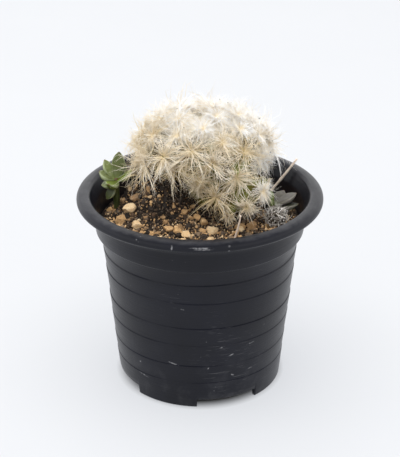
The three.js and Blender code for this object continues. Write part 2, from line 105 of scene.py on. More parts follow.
# Cactus, in millimetres. Each lobe has its centre, its radii, how low its stars of hair may look, where
# their spiral starts, in radians, and the length of its hairs by the average.
LOBES = (
    ((1.5, 9, 96), (21.5, 16.5, 13), -0.4, 0.48, 1),
    ((12, 4, 92), (11.5, 13, 14), -0.4, 0.84, 0.95),
    ((15.2, -4, 84), (9.2, 8, 9.5), -0.62, 0.36, 0.8),
    ((-9.5, 3, 95.5), (11, 11, 9.5), -0.4, 5.52, 1),
)
# A star that looks down has shorter hairs: how high it looks, and their length
HAIR_LENGTHS = ((-0.45, 0.36), (-0.2, 0.52), (0.1, 0.9), (0.4, 0.98), (0.9, 0.58))
STAR_TILT = 0.12  # how far a star may turn from its areole's direction
NECK = {"place": (3, 9), "foot": (60, 7.5), "top": (90, 11)}
TUBERCLE_LENGTH = 5.2
TUBERCLE_ROOT = 1.4  # how far a tubercle reaches into its lobe
TUBERCLE_RADII = (2.9, 1.3)
AREOLE_SPACING = 10.2
SOIL_MARGIN = 2.2
PUP_CENTRE = (31, -4, 71.4)
PUP_RADIUS = 4.2
PUP_ROOT = 11
PUP_ROOT_RADII = (1.05, 1.5)
PUP_POINTS = 90
PUP_COVER = 1.55  # how far down its points reach, where 2 is all the way round

# Leaves: root, direction, length and width; then how each looks: brightness, share of fresh green and
# bloom. The upper faces look to the middle of their plant.
GREEN_STEM = ((-34.2, 7.4, 61), (-34.4, 7.1, 84.4), 1.5)
GREEN_MIDDLE = (-33.6, 4.1, 90.4)
GREEN_LEAVES = (
    ((-34.1, 7.6, 83.1), (1.4, 1.8, 12.2), 12.4, 5.1, (1, 0, 0.35)),
    ((-33.8, 7.9, 83.1), (2.5, 1.8, 8.6), 9.1, 5, (0.45, 0, 0.1)),
    ((-33.6, 6.6, 82.9), (6.6, -1.6, 5.4), 8.8, 4.6, (1, 0.9, 0)),
    ((-34.9, 6.8, 83.4), (-6.6, -0.8, 3.8), 7.7, 5, (1, 0, 0.6)),
    ((-34.8, 7.8, 83.3), (-4.8, 1.9, 7.8), 9.4, 4.4, (1.8, 0, 0.9)),
    ((-33.9, 6.2, 82.6), (-3.2, -5, 0.9), 6.3, 5.6, (1.1, 0.4, 0.12)),
    ((-35, 6.5, 82.8), (-4.9, -0.5, -1.6), 5.6, 4.6, (1.2, 0, 0.7)),
    ((-34.7, 6.3, 81.9), (-3.3, -2.2, -6.1), 7.3, 3.8, (0.5, 0, 0.15)),
    ((-34.3, 8, 82.6), (0.3, 0.95, 0.35), 8.5, 4.8, (0.8, 0, 0.4)),
)
GREY_STEM = ((29.2, 5.4, 61), (29.8, 4.6, 73), 1.4)
GREY_MIDDLE = (29.8, 4.6, 79)
GREY_LEAVES = (
    ((30, 4.6, 73), (9.8, 1.8, 4.6), 11, 5.6, (0.9, 0, 0.36)),
    ((30.2, 3.6, 72), (10.2, 0.7, 1.7), 10.6, 4.8, (0.35, 0.1, 0.08)),
    ((29.5, 4, 72.6), (-0.9, 1, 6.8), 7.4, 4.2, (1, 1, 0)),
    ((30, 5.4, 72.8), (5.5, 7.5, 4), 9, 4.6, (0.85, 0, 0.5)),
    ((29.5, 5.4, 72.6), (-2.5, 9.5, 2.5), 8.5, 4.4, (0.85, 0, 0.5)),
)
STEM_LOOK = (0.6, 0, 0.2)
LEAF_THICKNESS = 0.62
LEAF_CUPPING = 0.9
LEAF_RINGS, LEAF_SIDES = 26, 20

# Dry stalks: foot, tip and radius
STALKS = {
    "stalk_front": ((12.2, -17.6, 64), (16, -20.8, 80.4), 0.5),
    "stalk_back": ((25, 21, 66), (40.4, 21, 86.8), 0.65),
}

# The cactus has no star of hair within this reach of the pup and of the grey plant
ROOM = ((PUP_CENTRE, 10.5), (GREY_STEM[1], 7))
# Its hairs get shorter, down to a half, within this reach of the grey plant and of the pup
HAIR_ROOM = ((GREY_MIDDLE, 14), (PUP_CENTRE, 32))

# Camera fitted to the photograph, in metres, degrees and pixels of its 400 x 457 frame
CAMERA_PLACE = Vector((0, -0.5541, 0.3334))
CAMERA_DOWN = math.radians(25.87)
FOCAL_PIXELS = 1500
FRAME_WIDE, FRAME_HIGH = 400, 457
SENSOR = 36

# Pebbles seen in the photograph: pixel, size across in millimetres and tone from dark to pale
PEBBLES = (
    ((130.5, 211), 6.4, 0.95),
    ((137, 198.5), 6.2, 0.6),
    ((124, 200), 3.4, 0.6),
    ((122, 221), 5.8, 0.72),
    ((137, 226), 5, 0.9),
    ((110, 210), 3.4, 0.82),
    ((117, 207), 3.8, 0.74),
    ((134.5, 180.6), 2, 0.98),
    ((131.7, 184.5), 2, 0.97),
    ((130, 189), 2.2, 0.98),
    ((133, 182.8), 1.6, 0.94),
    ((143, 184), 2.8, 0.8),
    ((149, 188), 3, 0.7),
    ((150.5, 197.3), 2, 0.93),
    ((151.4, 202.5), 1.8, 0.9),
    ((159, 195.6), 1.8, 0.88),
    ((163, 216), 2.6, 0.62),
    ((165, 223), 2.6, 0.66),
    ((139, 220.5), 1.6, 0.98),
    ((168, 231), 4, 0.76),
    ((177, 231), 4.4, 0.82),
    ((187, 235.5), 4.6, 0.9),
    ((185, 213.5), 3.4, 0.72),
    ((180, 225.5), 4.0, 0.62),
    ((193, 206.7), 2.4, 0.74),
    ((196, 212), 2.2, 0.86),
    ((197.5, 219), 4, 0.85),
    ((203.5, 223.5), 4.4, 0.87),
    ((211, 230), 5.6, 0.93),
    ((221.5, 232.4), 2.6, 0.62),
    ((251.5, 226), 5.2, 0.68),
    ((241, 231.5), 3.4, 0.96),
    ((236, 234.5), 2.2, 0.8),
    ((193, 236), 1.6, 0.99),
    ((202, 237), 1.6, 0.98),
    ((158, 233), 2.4, 0.64),
    ((146, 229), 2.2, 0.6),
)

# Scuffs on the pot's wall, and in the last two rows a painted highlight along the lip's lower front edge:
# degrees from the front, height, length and tilt from level
SCUFFS_AND_HIGHLIGHTS = (
    (13.8, 29.2, 2.6, 15),
    (20.3, 24.7, 4.0, 22),
    (21.7, 14.7, 2.4, -25),
    (22.5, 14.2, 1.6, 60),
    (5.3, 19.3, 1.4, 70),
    (-41, 10.9, 6.5, -8),
    (-17.6, 20.8, 5.5, -14),
    (-43.5, 16.9, 2.0, 30),
    (35.3, 15.6, 3.5, 8),
    (-10.3, 47.7, 1.8, -10),
    (31.2, 66.6, 1.8, 20),
    (33.7, 28.2, 4.5, 10),
    (-12.4, 80.2, 2.4, 88),
    (12.8, 80.8, 1.0, 40),
    (12.8, 78.9, 1.0, 0),
    # Painted highlight: these two rows light a thin band along the lip's lower front edge
    (0.4, 80.5, 8.0, 0),
    (1.5, 80.0, 6.5, 0),
)

# Painted shade: the wall reflects less along a thin line above each ledge
LEDGE_SHADE_UP = 0.3  # the dark line at a ledge lies this far above its edge, in millimetres
WORN_PLACE = (12, 22)  # middle of the most scratched part of the wall, across and up from the front


def to_metres(point):
    return Vector(point) * MM


def wall_radius(z):
    return FOOT_RADIUS + TAPER * z


def pot_height():
    return settings().pot.height / MM


def inside_profile():
    """The pot's inside from the base to the lip, as radius and height in millimetres."""
    wall = settings().pot.wall / MM
    base_top = BASE_UNDERSIDE + BASE_THICKNESS
    return (
        (wall_radius(base_top) - wall, base_top),
        (wall_radius(COLLAR_HEIGHT) - wall, COLLAR_HEIGHT - 1),
        (COLLAR_RADIUS - wall, COLLAR_HEIGHT + 2),
        (COLLAR_RADIUS - 0.3, pot_height() - 6),
        (RIM_INNER_RADIUS - 0.1, pot_height() - 0.7),
    )


def inside_radius(z):
    radii, heights = zip(*inside_profile())
    return float(np.interp(z, heights, radii))


def soil_height(x, y):
    """Height of the soil at a place, all in millimetres."""
    rise = max(h * math.exp(-0.5 * ((x - mx) ** 2 + (y - my) ** 2) / s**2) for mx, my, h, s in MOUNDS)
    fade = min(max((HEAP_REACH - math.hypot(x, y)) / HEAP_FADE, 0), 1)
    ripple = 0.25 * math.sin(x * 0.5) * math.cos(y * 0.43)
    return settings().soil.level / MM + rise * fade + ripple


def soil_under_pixel(px, py):
    """The place on the soil, in millimetres, that the photograph shows at a pixel."""
    right = Vector((1, 0, 0))
    ahead = Vector((0, math.cos(CAMERA_DOWN), -math.sin(CAMERA_DOWN)))
    up = Vector((0, math.sin(CAMERA_DOWN), math.cos(CAMERA_DOWN)))
    ray = (
        ahead
        + right * (px - FRAME_WIDE / 2) / FOCAL_PIXELS
        - up * (py - FRAME_HIGH / 2) / FOCAL_PIXELS
    )
    start = CAMERA_PLACE / MM
    step = 0.25
    travelled = 450
    point = start + ray * travelled
    while point.z > soil_height(point.x, point.y):
        travelled += step
        point = start + ray * travelled
    return point


# ---- Settings that a user would change ----------------------------------------------------------


def length(name, description, default):
    return FloatProperty(name=name, description=description, default=default, min=0, unit="LENGTH")


def colour(name, description, default):
    return FloatVectorProperty(
        name=name, description=description, default=default, size=3, min=0, max=1, subtype="COLOR"
    )


def share(name, description, default):
    return FloatProperty(
        name=name, description=description, default=default, min=0, max=1, subtype="FACTOR"
    )


def amount(name, description, default):
    return IntProperty(name=name, description=description, default=default, min=1)


class CactusPotSettings(bpy.types.PropertyGroup):
    """Sizes and finish of the plastic pot"""

    rim_radius: length("Rim radius", "Outer radius of the lip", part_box("pot")[1].x)
    height: length("Height", "From the floor to the top of the lip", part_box("pot")[1].z)
    wall: length("Wall", "Thickness of the plastic", 1.5 * MM)
    plastic: colour("Plastic", "Colour of the clean plastic", (0.003, 0.0034, 0.0068))
    # The dust colour also paints the highlight along the lip and the sheen on its top; the wear share scales
    # these too
    dust: colour("Dust", "Colour of scuffs, scratches and dust", (0.34, 0.34, 0.35))
    wear_and_highlight: share("Wear", "How strongly scuffs and dust show", 0.6)


class CactusSoilSettings(bpy.types.PropertyGroup):
    """Level, grain and colours of the soil"""

    level: length("Level", "Height of the soil at the pot's wall", 69 * MM)
    crumb: length("Crumb", "Radius of the finest crumbs", 0.4 * MM)
    grain: length("Grain", "Radius of the smaller grains", 0.62 * MM)
    chip: length("Chip", "Radius of the middle grains", 1.15 * MM)
    pebble: length("Pebble", "Radius of the larger stones", 2.2 * MM)
    dark: colour("Dark", "Colour of the damp compost", (0.012, 0.009, 0.007))
    brown: colour("Brown", "Colour of the dry crumbs", (0.125, 0.07, 0.038))
    tan: colour("Tan", "Colour of the baked clay stones", (0.62, 0.39, 0.185))
    cream: colour("Cream", "Colour of the palest stones", (0.74, 0.58, 0.37))


class CactusWoolSettings(bpy.types.PropertyGroup):
    """Hairs of the cactus and of its pup"""

    hairs: amount("Hairs", "Hairs that grow from each areole", 205)
    length: length("Length", "Length of an average hair", 9.0 * MM)
    thickness: length("Thickness", "Diameter of a fine hair at its root", 0.2 * MM)
    root: colour("Root", "Colour of a hair where it leaves the areole", (0.54, 0.405, 0.21))
    middle: colour("Middle", "Colour of the middle of a hair", (0.72, 0.575, 0.32))
    tip: colour("Tip", "Colour of the end of a hair", (0.93, 0.865, 0.75))
    snow: colour("Snow", "Colour of the whitest hairs, on the crown", (0.93, 0.93, 0.925))
    pup_hairs: amount("Pup hairs", "Hairs that grow from each point of the pup", 4)


class CactusFleshSettings(bpy.types.PropertyGroup):
    """Colours of the living green parts"""

    body: colour("Body", "Green of the cactus between its hairs", (0.15, 0.135, 0.034))
    green_leaf: colour("Green leaf", "Olive of the left succulent", (0.072, 0.092, 0.013))
    fresh_leaf: colour("Fresh leaf", "Bright green of the young leaves", (0.11, 0.16, 0.008))
    grey_leaf: colour("Grey leaf", "Brownish grey of the right succulent", (0.1, 0.092, 0.076))
    straw: colour("Straw", "Colour of the dry stalks", (0.93, 0.78, 0.665))


class CactusStageSettings(bpy.types.PropertyGroup):
    """Floor, lights and camera"""

    floor: colour("Floor", "Colour of the floor", (0.226, 0.227, 0.229))
    overhead: FloatProperty(
        name="Overhead", description="Power of the overhead softbox", default=20.5, min=0, unit="POWER"
    )
    surround: FloatProperty(
        name="Surround", description="Brightness of the surrounding white", default=1.35, min=0
    )


class PottedCactusSettings(bpy.types.PropertyGroup):
    """Everything about the potted cactus"""

    pot: PointerProperty(type=CactusPotSettings)
    soil: PointerProperty(type=CactusSoilSettings)
    wool: PointerProperty(type=CactusWoolSettings)
    flesh: PointerProperty(type=CactusFleshSettings)
    stage: PointerProperty(type=CactusStageSettings)


def settings():
    return bpy.context.scene.potted_cactus


# ---- Node trees ---------------------------------------------------------------------------------


class Graph:
    """Writes a node tree as calls: each adds one node and gives back one of its outputs."""

    def __init__(self, tree):
        self.tree = tree

    @staticmethod
    def pick(sockets, key):
        live = [socket for socket in sockets if socket.enabled]
        return live[key] if isinstance(key, int) else next(s for s in live if s.name == key)

    def add(self, kind, inputs=None, out=0, **properties):
        node = self.tree.nodes.new(kind)
        for name, value in properties.items():
            setattr(node, name, value)
        for key, value in (inputs or {}).items():
            self.put(self.pick(node.inputs, key), value)
        return self.pick(node.outputs, out)

    def put(self, socket, value):
        if isinstance(value, bpy.types.NodeSocket):
            self.tree.links.new(value, socket)
        else:
            socket.default_value = value

    def math(self, operation, *values, clamp=False):
        inputs = dict(enumerate(values))
        return self.add("ShaderNodeMath", inputs, operation=operation, use_clamp=clamp)

    def vector(self, operation, *values):
        return self.add("ShaderNodeVectorMath", dict(enumerate(values)), operation=operation)

    def combine(self, x=0.0, y=0.0, z=0.0):
        return self.add("ShaderNodeCombineXYZ", {0: x, 1: y, 2: z})

    def part(self, vector, axis):
        return self.add("ShaderNodeSeparateXYZ", {0: vector}, out=axis)

    def blend(self, factor, first, second, mode="MIX"):
        inputs = {"Factor": factor, "A": as_colour(first), "B": as_colour(second)}
        return self.add("ShaderNodeMix", inputs, data_type="RGBA", blend_type=mode)

    def ramp(self, factor, stops):
        output = self.add("ShaderNodeValToRGB", {0: factor})
        elements = output.node.color_ramp.elements
        while len(elements) < len(stops):
            elements.new(0.5)
        for element, (place, value) in zip(elements, stops):
            element.position = place
            element.color = as_colour(value)
        return output

    def rise(self, value, low, high):
        """From 0 at low to 1 at high, and flat outside."""
        inputs = {"Value": value, "From Min": low, "From Max": high}
        return self.add("ShaderNodeMapRange", inputs, clamp=True)

    def noise(self, vector, scale, detail=3.0, roughness=0.55, distortion=0.0):
        inputs = {
            "Vector": vector,
            "Scale": scale,
            "Detail": detail,
            "Roughness": roughness,
            "Distortion": distortion,
        }
        return self.add("ShaderNodeTexNoise", inputs)

    def cells(self, vector, scale, feature="F1", out="Distance"):
        inputs = {"Vector": vector, "Scale": scale}
        return self.add("ShaderNodeTexVoronoi", inputs, feature=feature, out=out)

    def bump(self, height, strength, distance, normal=None):
        inputs = {"Height": height, "Strength": strength, "Distance": distance}
        if normal is not None:
            inputs["Normal"] = normal
        return self.add("ShaderNodeBump", inputs)

    def stretched(self, vector, scale):
        return self.add("ShaderNodeMapping", {"Vector": vector, "Scale": scale})

    def named(self, name, kind="FLOAT"):
        return self.add("GeometryNodeInputNamedAttribute", {"Name": name}, data_type=kind)

    def store(self, geometry, name, value, kind="FLOAT", domain="POINT"):
        inputs = {"Geometry": geometry, "Name": name, "Value": value}
        return self.add("GeometryNodeStoreNamedAttribute", inputs, data_type=kind, domain=domain)

    def random(self, low, high, identity, seed, kind="FLOAT"):
        inputs = {"Min": low, "Max": high, "ID": identity, "Seed": seed}
        return self.add("FunctionNodeRandomValue", inputs, data_type=kind)


def as_colour(value):
    if isinstance(value, bpy.types.NodeSocket):
        return value
    return (*value, 1.0)


SOCKETS = {
    float: "NodeSocketFloat",
    int: "NodeSocketInt",
    tuple: "NodeSocketVector",
    bpy.types.Material: "NodeSocketMaterial",
}


def geometry_tree(name, defaults):
    """An empty geometry tree with its named inputs: the tree, its graph and its inputs by name."""
    tree = bpy.data.node_groups.new(name, "GeometryNodeTree")
    tree.interface.new_socket("Geometry", in_out="INPUT", socket_type="NodeSocketGeometry")
    tree.interface.new_socket("Geometry", in_out="OUTPUT", socket_type="NodeSocketGeometry")
    for label, default in defaults.items():
        kind = default if isinstance(default, type) else type(default)
        socket = tree.interface.new_socket(label, in_out="INPUT", socket_type=SOCKETS[kind])
        if kind is not bpy.types.Material:
            socket.default_value = default
    given = tree.nodes.new("NodeGroupInput")
    return tree, Graph(tree), {socket.name: socket for socket in given.outputs if socket.name}


def close_tree(graph, geometry, material):
    """Every tree ends in real faces with their material."""
    real = graph.add("GeometryNodeRealizeInstances", {"Geometry": geometry})
    dressed = graph.add("GeometryNodeSetMaterial", {"Geometry": real, "Material": material})
    end = graph.tree.nodes.new("NodeGroupOutput")
    graph.put(end.inputs[0], dressed)


def grown(host, tree, values):
    """Runs a geometry tree on a host object and leaves the result as its plain mesh."""
    modifier = host.modifiers.new(tree.name, "NODES")
    modifier.node_group = tree
    for item in tree.interface.items_tree:
        if item.in_out == "INPUT" and item.name in values:
            modifier[item.identifier] = values[item.name]
    if not with_modifiers(host).data.polygons:
        raise RuntimeError(f"{host.name} came out empty")
    return host


# ---- Meshes -------------------------------------------------------------------------------------


def linked(name, data):
    """A new object in the scene for a mesh, light or camera."""
    made = bpy.data.objects.new(name, data)
    bpy.context.scene.collection.objects.link(made)
    return made


def new_object(name, points, faces, material=None, smooth=True):
    """Points in millimetres make a mesh in metres, in place."""
    mesh = bpy.data.meshes.new(name)
    mesh.from_pydata([tuple(p) for p in np.asarray(points, float) * MM], [], faces)
    mesh.update()
    if material:
        mesh.materials.append(material)
    mesh.shade_smooth() if smooth else mesh.shade_flat()
    return linked(name, mesh)


def from_bmesh(name, whole, material=None):
    """An object from a bmesh, which is freed. With a material it is smooth."""
    mesh = bpy.data.meshes.new(name)
    whole.to_mesh(mesh)
    whole.free()
    if material:
        mesh.materials.append(material)
        mesh.shade_smooth()
    return linked(name, mesh)


def post_into(whole, middle, radii, depth, sides, turn=Matrix.Identity(4)):
    """Adds a closed post round its middle, with its radii at the foot and at the top. Millimetres."""
    bmesh.ops.create_cone(
        whole,
        cap_ends=True,
        segments=sides,
        radius1=radii[0] * MM,
        radius2=radii[1] * MM,
        depth=depth * MM,
        matrix=Matrix.Translation(to_metres(middle)) @ turn,
    )


def with_attributes(made, attributes):
    """Stores a value or a vector for each point of an object."""
    for label, values in attributes.items():
        flat = np.asarray(values, np.float32)
        kind, field = ("FLOAT_VECTOR", "vector") if flat.ndim == 2 else ("FLOAT", "value")
        made.data.attributes.new(label, kind, "POINT").data.foreach_set(field, flat.ravel())
    return made


def lay_on_map(made, places):
    """Gives each corner of each face its place on the map."""
    layer = made.data.uv_layers.new(name=BAKE_MAP)
    layer.data.foreach_set("uv", np.asarray(places, np.float32).ravel())


def point_cloud(name, points, attributes):
    """Loose points in millimetres with their attributes, for a geometry tree to grow from."""
    return with_attributes(new_object(name, points, []), attributes)


def joined(name, objects):
    """One mesh from several, in the order given."""
    whole = bmesh.new()
    materials = []
    for each in objects:
        start = len(whole.faces)
        whole.from_mesh(each.data)
        whole.faces.ensure_lookup_table()
        slot = [m for m in each.data.materials if m][0]
        if slot not in materials:
            materials.append(slot)
        for face in whole.faces[start:]:
            face.material_index = materials.index(slot)
        bpy.data.objects.remove(each)
    made = from_bmesh(name, whole)
    for slot in materials:
        made.data.materials.append(slot)
    return made


def with_modifiers(host):
    """Bakes the modifiers of an object into its mesh."""
    start = host.data
    evaluated = host.evaluated_get(bpy.context.evaluated_depsgraph_get())
    host.data = bpy.data.meshes.new_from_object(evaluated)
    host.data.name = host.name
    host.modifiers.clear()
    bpy.data.meshes.remove(start)
    return host


def tube_faces(rings, sides):
    """Faces between rings of points that run up a stem, with both ends closed."""
    faces = []
    for ring in range(rings - 1):
        low = ring * sides
        for j in range(sides):
            k = (j + 1) % sides
            faces.append((low + j, low + k, low + sides + k, low + sides + j))
    faces.append(tuple(reversed(range(sides))))
    faces.append(tuple(range((rings - 1) * sides, rings * sides)))
    return faces


def tube_places(faces, rings, sides):
    """Where each corner of a tube's faces lies on its map, as shares around and along."""
    places = []
    for face in faces:
        turns = [corner % sides for corner in face]
        wraps = len(face) == 4 and max(turns) - min(turns) > 1
        for corner, turn in zip(face, turns):
            turn = sides if wraps and turn == 0 else turn
            places.append((turn / sides, corner // sides / (rings - 1)))
    return places


def tube(name, path, radii, sides, material):
    """A round stem along a path of points, with a radius at each."""
    points = []
    side = None
    for i, place in enumerate(path):
        ahead = (path[min(i + 1, len(path) - 1)] - path[max(i - 1, 0)]).normalized()
        side = (ahead.orthogonal() if side is None else side - ahead * side.dot(ahead)).normalized()
        other = ahead.cross(side)
        for j in range(sides):
            turn = 2 * math.pi * j / sides
            points.append(place + (side * math.cos(turn) + other * math.sin(turn)) * radii[i])
    return new_object(name, points, tube_faces(len(path), sides), material)


def finished(piece, nodes):
    """Attaches a finished piece to the body's empty and hides the solids it replaces."""
    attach(piece, BODY)
    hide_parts(*nodes)
    return piece


# ---- Materials ----------------------------------------------------------------------------------


def new_finish(name, roughness=0.6, specular=0.5):
    """A material with its graph and shader. Values that are even all over are set on the shader."""
    material = bpy.data.materials.new(name)
    material.use_nodes = True
    shader = material.node_tree.nodes["Principled BSDF"]
    shader.inputs["Roughness"].default_value = roughness
    shader.inputs["Specular IOR Level"].default_value = specular
    return material, Graph(material.node_tree), shader


def object_place(graph):
    return graph.add("ShaderNodeTexCoord", out="Object")


def map_place(graph):
    return graph.add("ShaderNodeUVMap", uv_map=BAKE_MAP)


def tone_ramp(graph, tone):
    """From damp compost through crumbs and clay to the palest stones."""
    soil = settings().soil
    grey = (0.145, 0.115, 0.088)
    stops = (
        (0.0, [c * 1.5 for c in soil.dark]),
        (0.16, [c * 3.2 for c in soil.dark]),
        (0.34, [c * 0.75 for c in soil.brown]),
        (0.5, grey),
        (0.64, [b * 0.6 + t * 0.4 for b, t in zip(soil.brown, soil.tan)]),
        (0.84, soil.tan),
        (1.0, soil.cream),
    )
    return graph.ramp(tone, stops)


def scuff_or_highlight_mask(graph, unrolled, degrees, height, long, tilt):
    """1 along one short scratch or one short painted highlight on the unrolled wall, 0 away from it.
    Millimetres.
    """
    around = graph.math("SUBTRACT", graph.part(unrolled, 0), math.radians(degrees) * 38.0)
    above = graph.math("SUBTRACT", graph.part(unrolled, 1), height)
    lean = math.radians(tilt)
    along = graph.math(
        "ADD",
        graph.math("MULTIPLY", around, math.cos(lean)),
        graph.math("MULTIPLY", above, math.sin(lean)),
    )
    across = graph.math(
        "SUBTRACT",
        graph.math("MULTIPLY", above, math.cos(lean)),
        graph.math("MULTIPLY", around, math.sin(lean)),
    )
    reach = graph.math("DIVIDE", along, long / 2)
    width = graph.math("DIVIDE", across, 0.4)
    away = graph.math(
        "SQRT",
        graph.math("ADD", graph.math("POWER", reach, 2), graph.math("POWER", width, 2)),
    )
    return graph.rise(away, 1.0, 0.35)


def away_from(graph, unrolled, place):
    """Distance from a place on the unrolled wall. Millimetres."""
    across = graph.math("SUBTRACT", graph.part(unrolled, 0), place[0])
    above = graph.math("SUBTRACT", graph.part(unrolled, 1), place[1])
    squares = [graph.math("POWER", value, 2) for value in (across, above)]
    return graph.math("SQRT", graph.math("ADD", *squares))


def pot_plastic():
    """Satin black plastic with moulding streaks, fine scratches, scuffs and dust, a painted highlight along
    the lip's lower front edge and dust with painted sheen on the lip's top.
    """
    pot = settings().pot
    material, g, shader = new_finish("pot_plastic", specular=0.26)
    place = object_place(g)
    across = g.math("ARCTAN2", g.part(place, 0), g.math("MULTIPLY", g.part(place, 1), -1.0))
    high = g.math("MULTIPLY", g.part(place, 2), 1 / MM)
    unrolled = g.combine(g.math("MULTIPLY", across, 38.0), high)
    clouds = g.noise(place, 38, detail=4)
    grain = g.noise(place, 1500, detail=2)
    streaks = g.noise(g.stretched(place, (40, 40, 2200)), 1, detail=3)
    scratches = g.noise(g.stretched(place, (150, 150, 4200)), 1, detail=1, distortion=0.5)
    rubbed = g.rise(away_from(g, unrolled, WORN_PLACE), 24.0, 6.0)
    scratches = g.math("ADD", scratches, g.math("MULTIPLY", rubbed, 0.06))
    worn = g.rise(g.math("ADD", clouds, g.math("MULTIPLY", rubbed, 0.15)), 0.5, 0.7)
    scratch = g.math("MULTIPLY", g.rise(scratches, 0.71, 0.78), worn)
    specks = g.rise(g.cells(place, 420), 0.13, 0.06)
    speck = g.math("MULTIPLY", specks, g.rise(g.noise(place, 90), 0.6, 0.72))
    scuff_or_highlight = 0.0
    # Scratches from the scuff rows, and a painted highlight from the two rows along the lip's lower front
    # edge
    for row in SCUFFS_AND_HIGHLIGHTS:
        scuff_or_highlight = g.math("MAXIMUM", scuff_or_highlight, scuff_or_highlight_mask(g, unrolled, *row))
    patchy_scuff_or_highlight = g.math("MULTIPLY", scuff_or_highlight, g.rise(g.noise(place, 900, detail=2), 0.38, 0.6))
    fine_wear = g.math("MAXIMUM", g.math("MULTIPLY", scratch, 0.32), g.math("MULTIPLY", speck, 0.8))
    wear_and_highlight = g.math("MAXIMUM", patchy_scuff_or_highlight, fine_wear)
    height = g.part(place, 2)
    splash = g.math("MULTIPLY", g.rise(height, 0.03, 0.0), g.rise(g.noise(place, 160, detail=5), 0.5, 0.75))
    # Dust and painted sheen on the lip's top: pale rubbed streaks in its highest millimetre stand in for
    # streaky reflections
    rub_and_sheen_streaks = g.noise(g.stretched(place, (220, 220, 900)), 1, detail=4, roughness=0.65)
    rim = g.math("MULTIPLY", g.rise(height, 0.0812, 0.0818), g.rise(rub_and_sheen_streaks, 0.38, 0.75))
    dust_and_highlight = g.math("MAXIMUM", wear_and_highlight, g.math("MULTIPLY", splash, 0.1))
    dust_and_highlight = g.math("MAXIMUM", dust_and_highlight, g.math("MULTIPLY", rim, 0.13))
    # Painted shade: a thin broken line just above each ledge reflects less, as in the shade of the step
    ledge_shade = 0.0
    for at, _ in LEDGES:
        near = g.math("ABSOLUTE", g.math("SUBTRACT", high, at + LEDGE_SHADE_UP))
        ledge_shade = g.math("MAXIMUM", ledge_shade, g.rise(near, 0.36, 0.1))
    broken = g.rise(g.noise(g.stretched(place, (1, 1, 2.5)), 34, detail=3, roughness=0.6), 0.4, 0.62)
    ledge_shade = g.math("MULTIPLY", ledge_shade, g.math("ADD", 0.1, g.math("MULTIPLY", broken, 0.8)))
    g.put(shader.inputs["Specular IOR Level"], g.math("SUBTRACT", 0.26, g.math("MULTIPLY", ledge_shade, 0.2)))
    faded = [value * 1.7 for value in pot.plastic]
    plain = g.blend(g.rise(clouds, 0.35, 0.7), pot.plastic, faded)
    g.put(shader.inputs["Base Color"], g.blend(g.math("MULTIPLY", dust_and_highlight, pot.wear_and_highlight), plain, pot.dust))
    rough = g.math("ADD", 0.26, g.math("MULTIPLY", streaks, 0.14))
    g.put(shader.inputs["Roughness"], g.math("ADD", rough, g.math("MULTIPLY", dust_and_highlight, 0.3), clamp=True))
    fine = g.bump(grain, 0.12, 0.00012)
    moulded = g.bump(streaks, 0.25, 0.00025, fine)
    g.put(shader.inputs["Normal"], g.bump(g.math("MULTIPLY", wear_and_highlight, -1), 0.3, 0.0002, moulded))
    return material


def compost():
    """Damp dark crumbs between the grains."""
    soil = settings().soil
    material, g, shader = new_finish("compost", roughness=0.9, specular=0.25)
    place = object_place(g)
    crumbs = g.cells(place, 900)
    clods = g.noise(place, 260, detail=6, roughness=0.7)
    mixed = g.math("MULTIPLY", clods, g.rise(crumbs, 0.8, 0.1))
    shade = g.ramp(
        mixed,
        ((0.08, soil.dark), (0.3, [c * 2.6 for c in soil.dark]), (0.5, [c * 0.8 for c in soil.brown])),
    )
    drawn = g.part(g.cells(place, 1250, out="Color"), 0)
    chips = g.math("MULTIPLY", g.rise(drawn, 0.76, 0.84), g.rise(g.cells(place, 1250), 0.5, 0.3))
    g.put(shader.inputs["Base Color"], g.blend(chips, shade, (0.27, 0.2, 0.13)))
    lumps = g.bump(clods, 0.9, 0.0009)
    g.put(shader.inputs["Normal"], g.bump(crumbs, 0.8, 0.0005, lumps))
    return material


def grit():
    """Small grains: each takes its tone from its map, with painted shade: lighter on faces that look up,
    darker on faces that look down.
    """
    material, g, shader = new_finish("grit", roughness=0.78, specular=0.4)
    tone = g.part(map_place(g), 0)
    light = g.part(map_place(g), 1)
    shaded = g.blend(1.0, tone_ramp(g, tone), g.ramp(light, ((0, (0.7,) * 3), (1, (1.15,) * 3))), "MULTIPLY")
    g.put(shader.inputs["Base Color"], shaded)
    return material


def clay_stone():
    """Porous baked clay: pits, pale dust on the high spots and darker freckles."""
    material, g, shader = new_finish("clay_stone", roughness=0.88, specular=0.3)
    place = object_place(g)
    tone = g.add("ShaderNodeAttribute", attribute_name="tone", out="Fac")
    patches = g.noise(place, 420, detail=5, roughness=0.65)
    pits = g.cells(place, 1500)
    shifted = g.math("ADD", tone, g.math("MULTIPLY", g.math("SUBTRACT", patches, 0.5), 0.3), clamp=True)
    base = tone_ramp(g, shifted)
    pitted = g.blend(g.rise(pits, 0.2, 0.08), base, (0.045, 0.028, 0.016))
    dusted = g.blend(
        g.math("MULTIPLY", g.rise(patches, 0.56, 0.74), g.rise(tone, 0.5, 0.9)), pitted, (0.72, 0.56, 0.36)
    )
    g.put(shader.inputs["Base Color"], dusted)
    rough = g.bump(patches, 0.8, 0.0005)
    g.put(shader.inputs["Normal"], g.bump(pits, 0.6, 0.0002, rough))
    return material


def hair_finish(name, root, middle, tip, snow, roughness=0.5):
    """A hair's colour runs from root to tip. Along its map it goes from golden over white to snow."""
    material, g, shader = new_finish(name, roughness=roughness, specular=0.15)
    tone = g.part(map_place(g), 0)
    along = g.part(map_place(g), 1)
    pale = [(m + t) / 2 for m, t in zip(middle, tip)]
    warm = [(r + m) / 2 for r, m in zip(root, middle)]
    golden = g.ramp(along, ((0.0, root), (0.25, warm), (0.65, middle), (1.0, pale)))
    white = g.ramp(along, ((0.0, middle), (0.22, pale), (0.55, tip)))
    snowy = g.ramp(along, ((0.0, pale), (0.4, snow)))
    coloured = g.blend(g.rise(tone, 0.0, SNOW_FROM), golden, white)
    g.put(shader.inputs["Base Color"], g.blend(g.rise(tone, SNOW_FROM, SNOW_WHOLE), coloured, snowy))
    return material


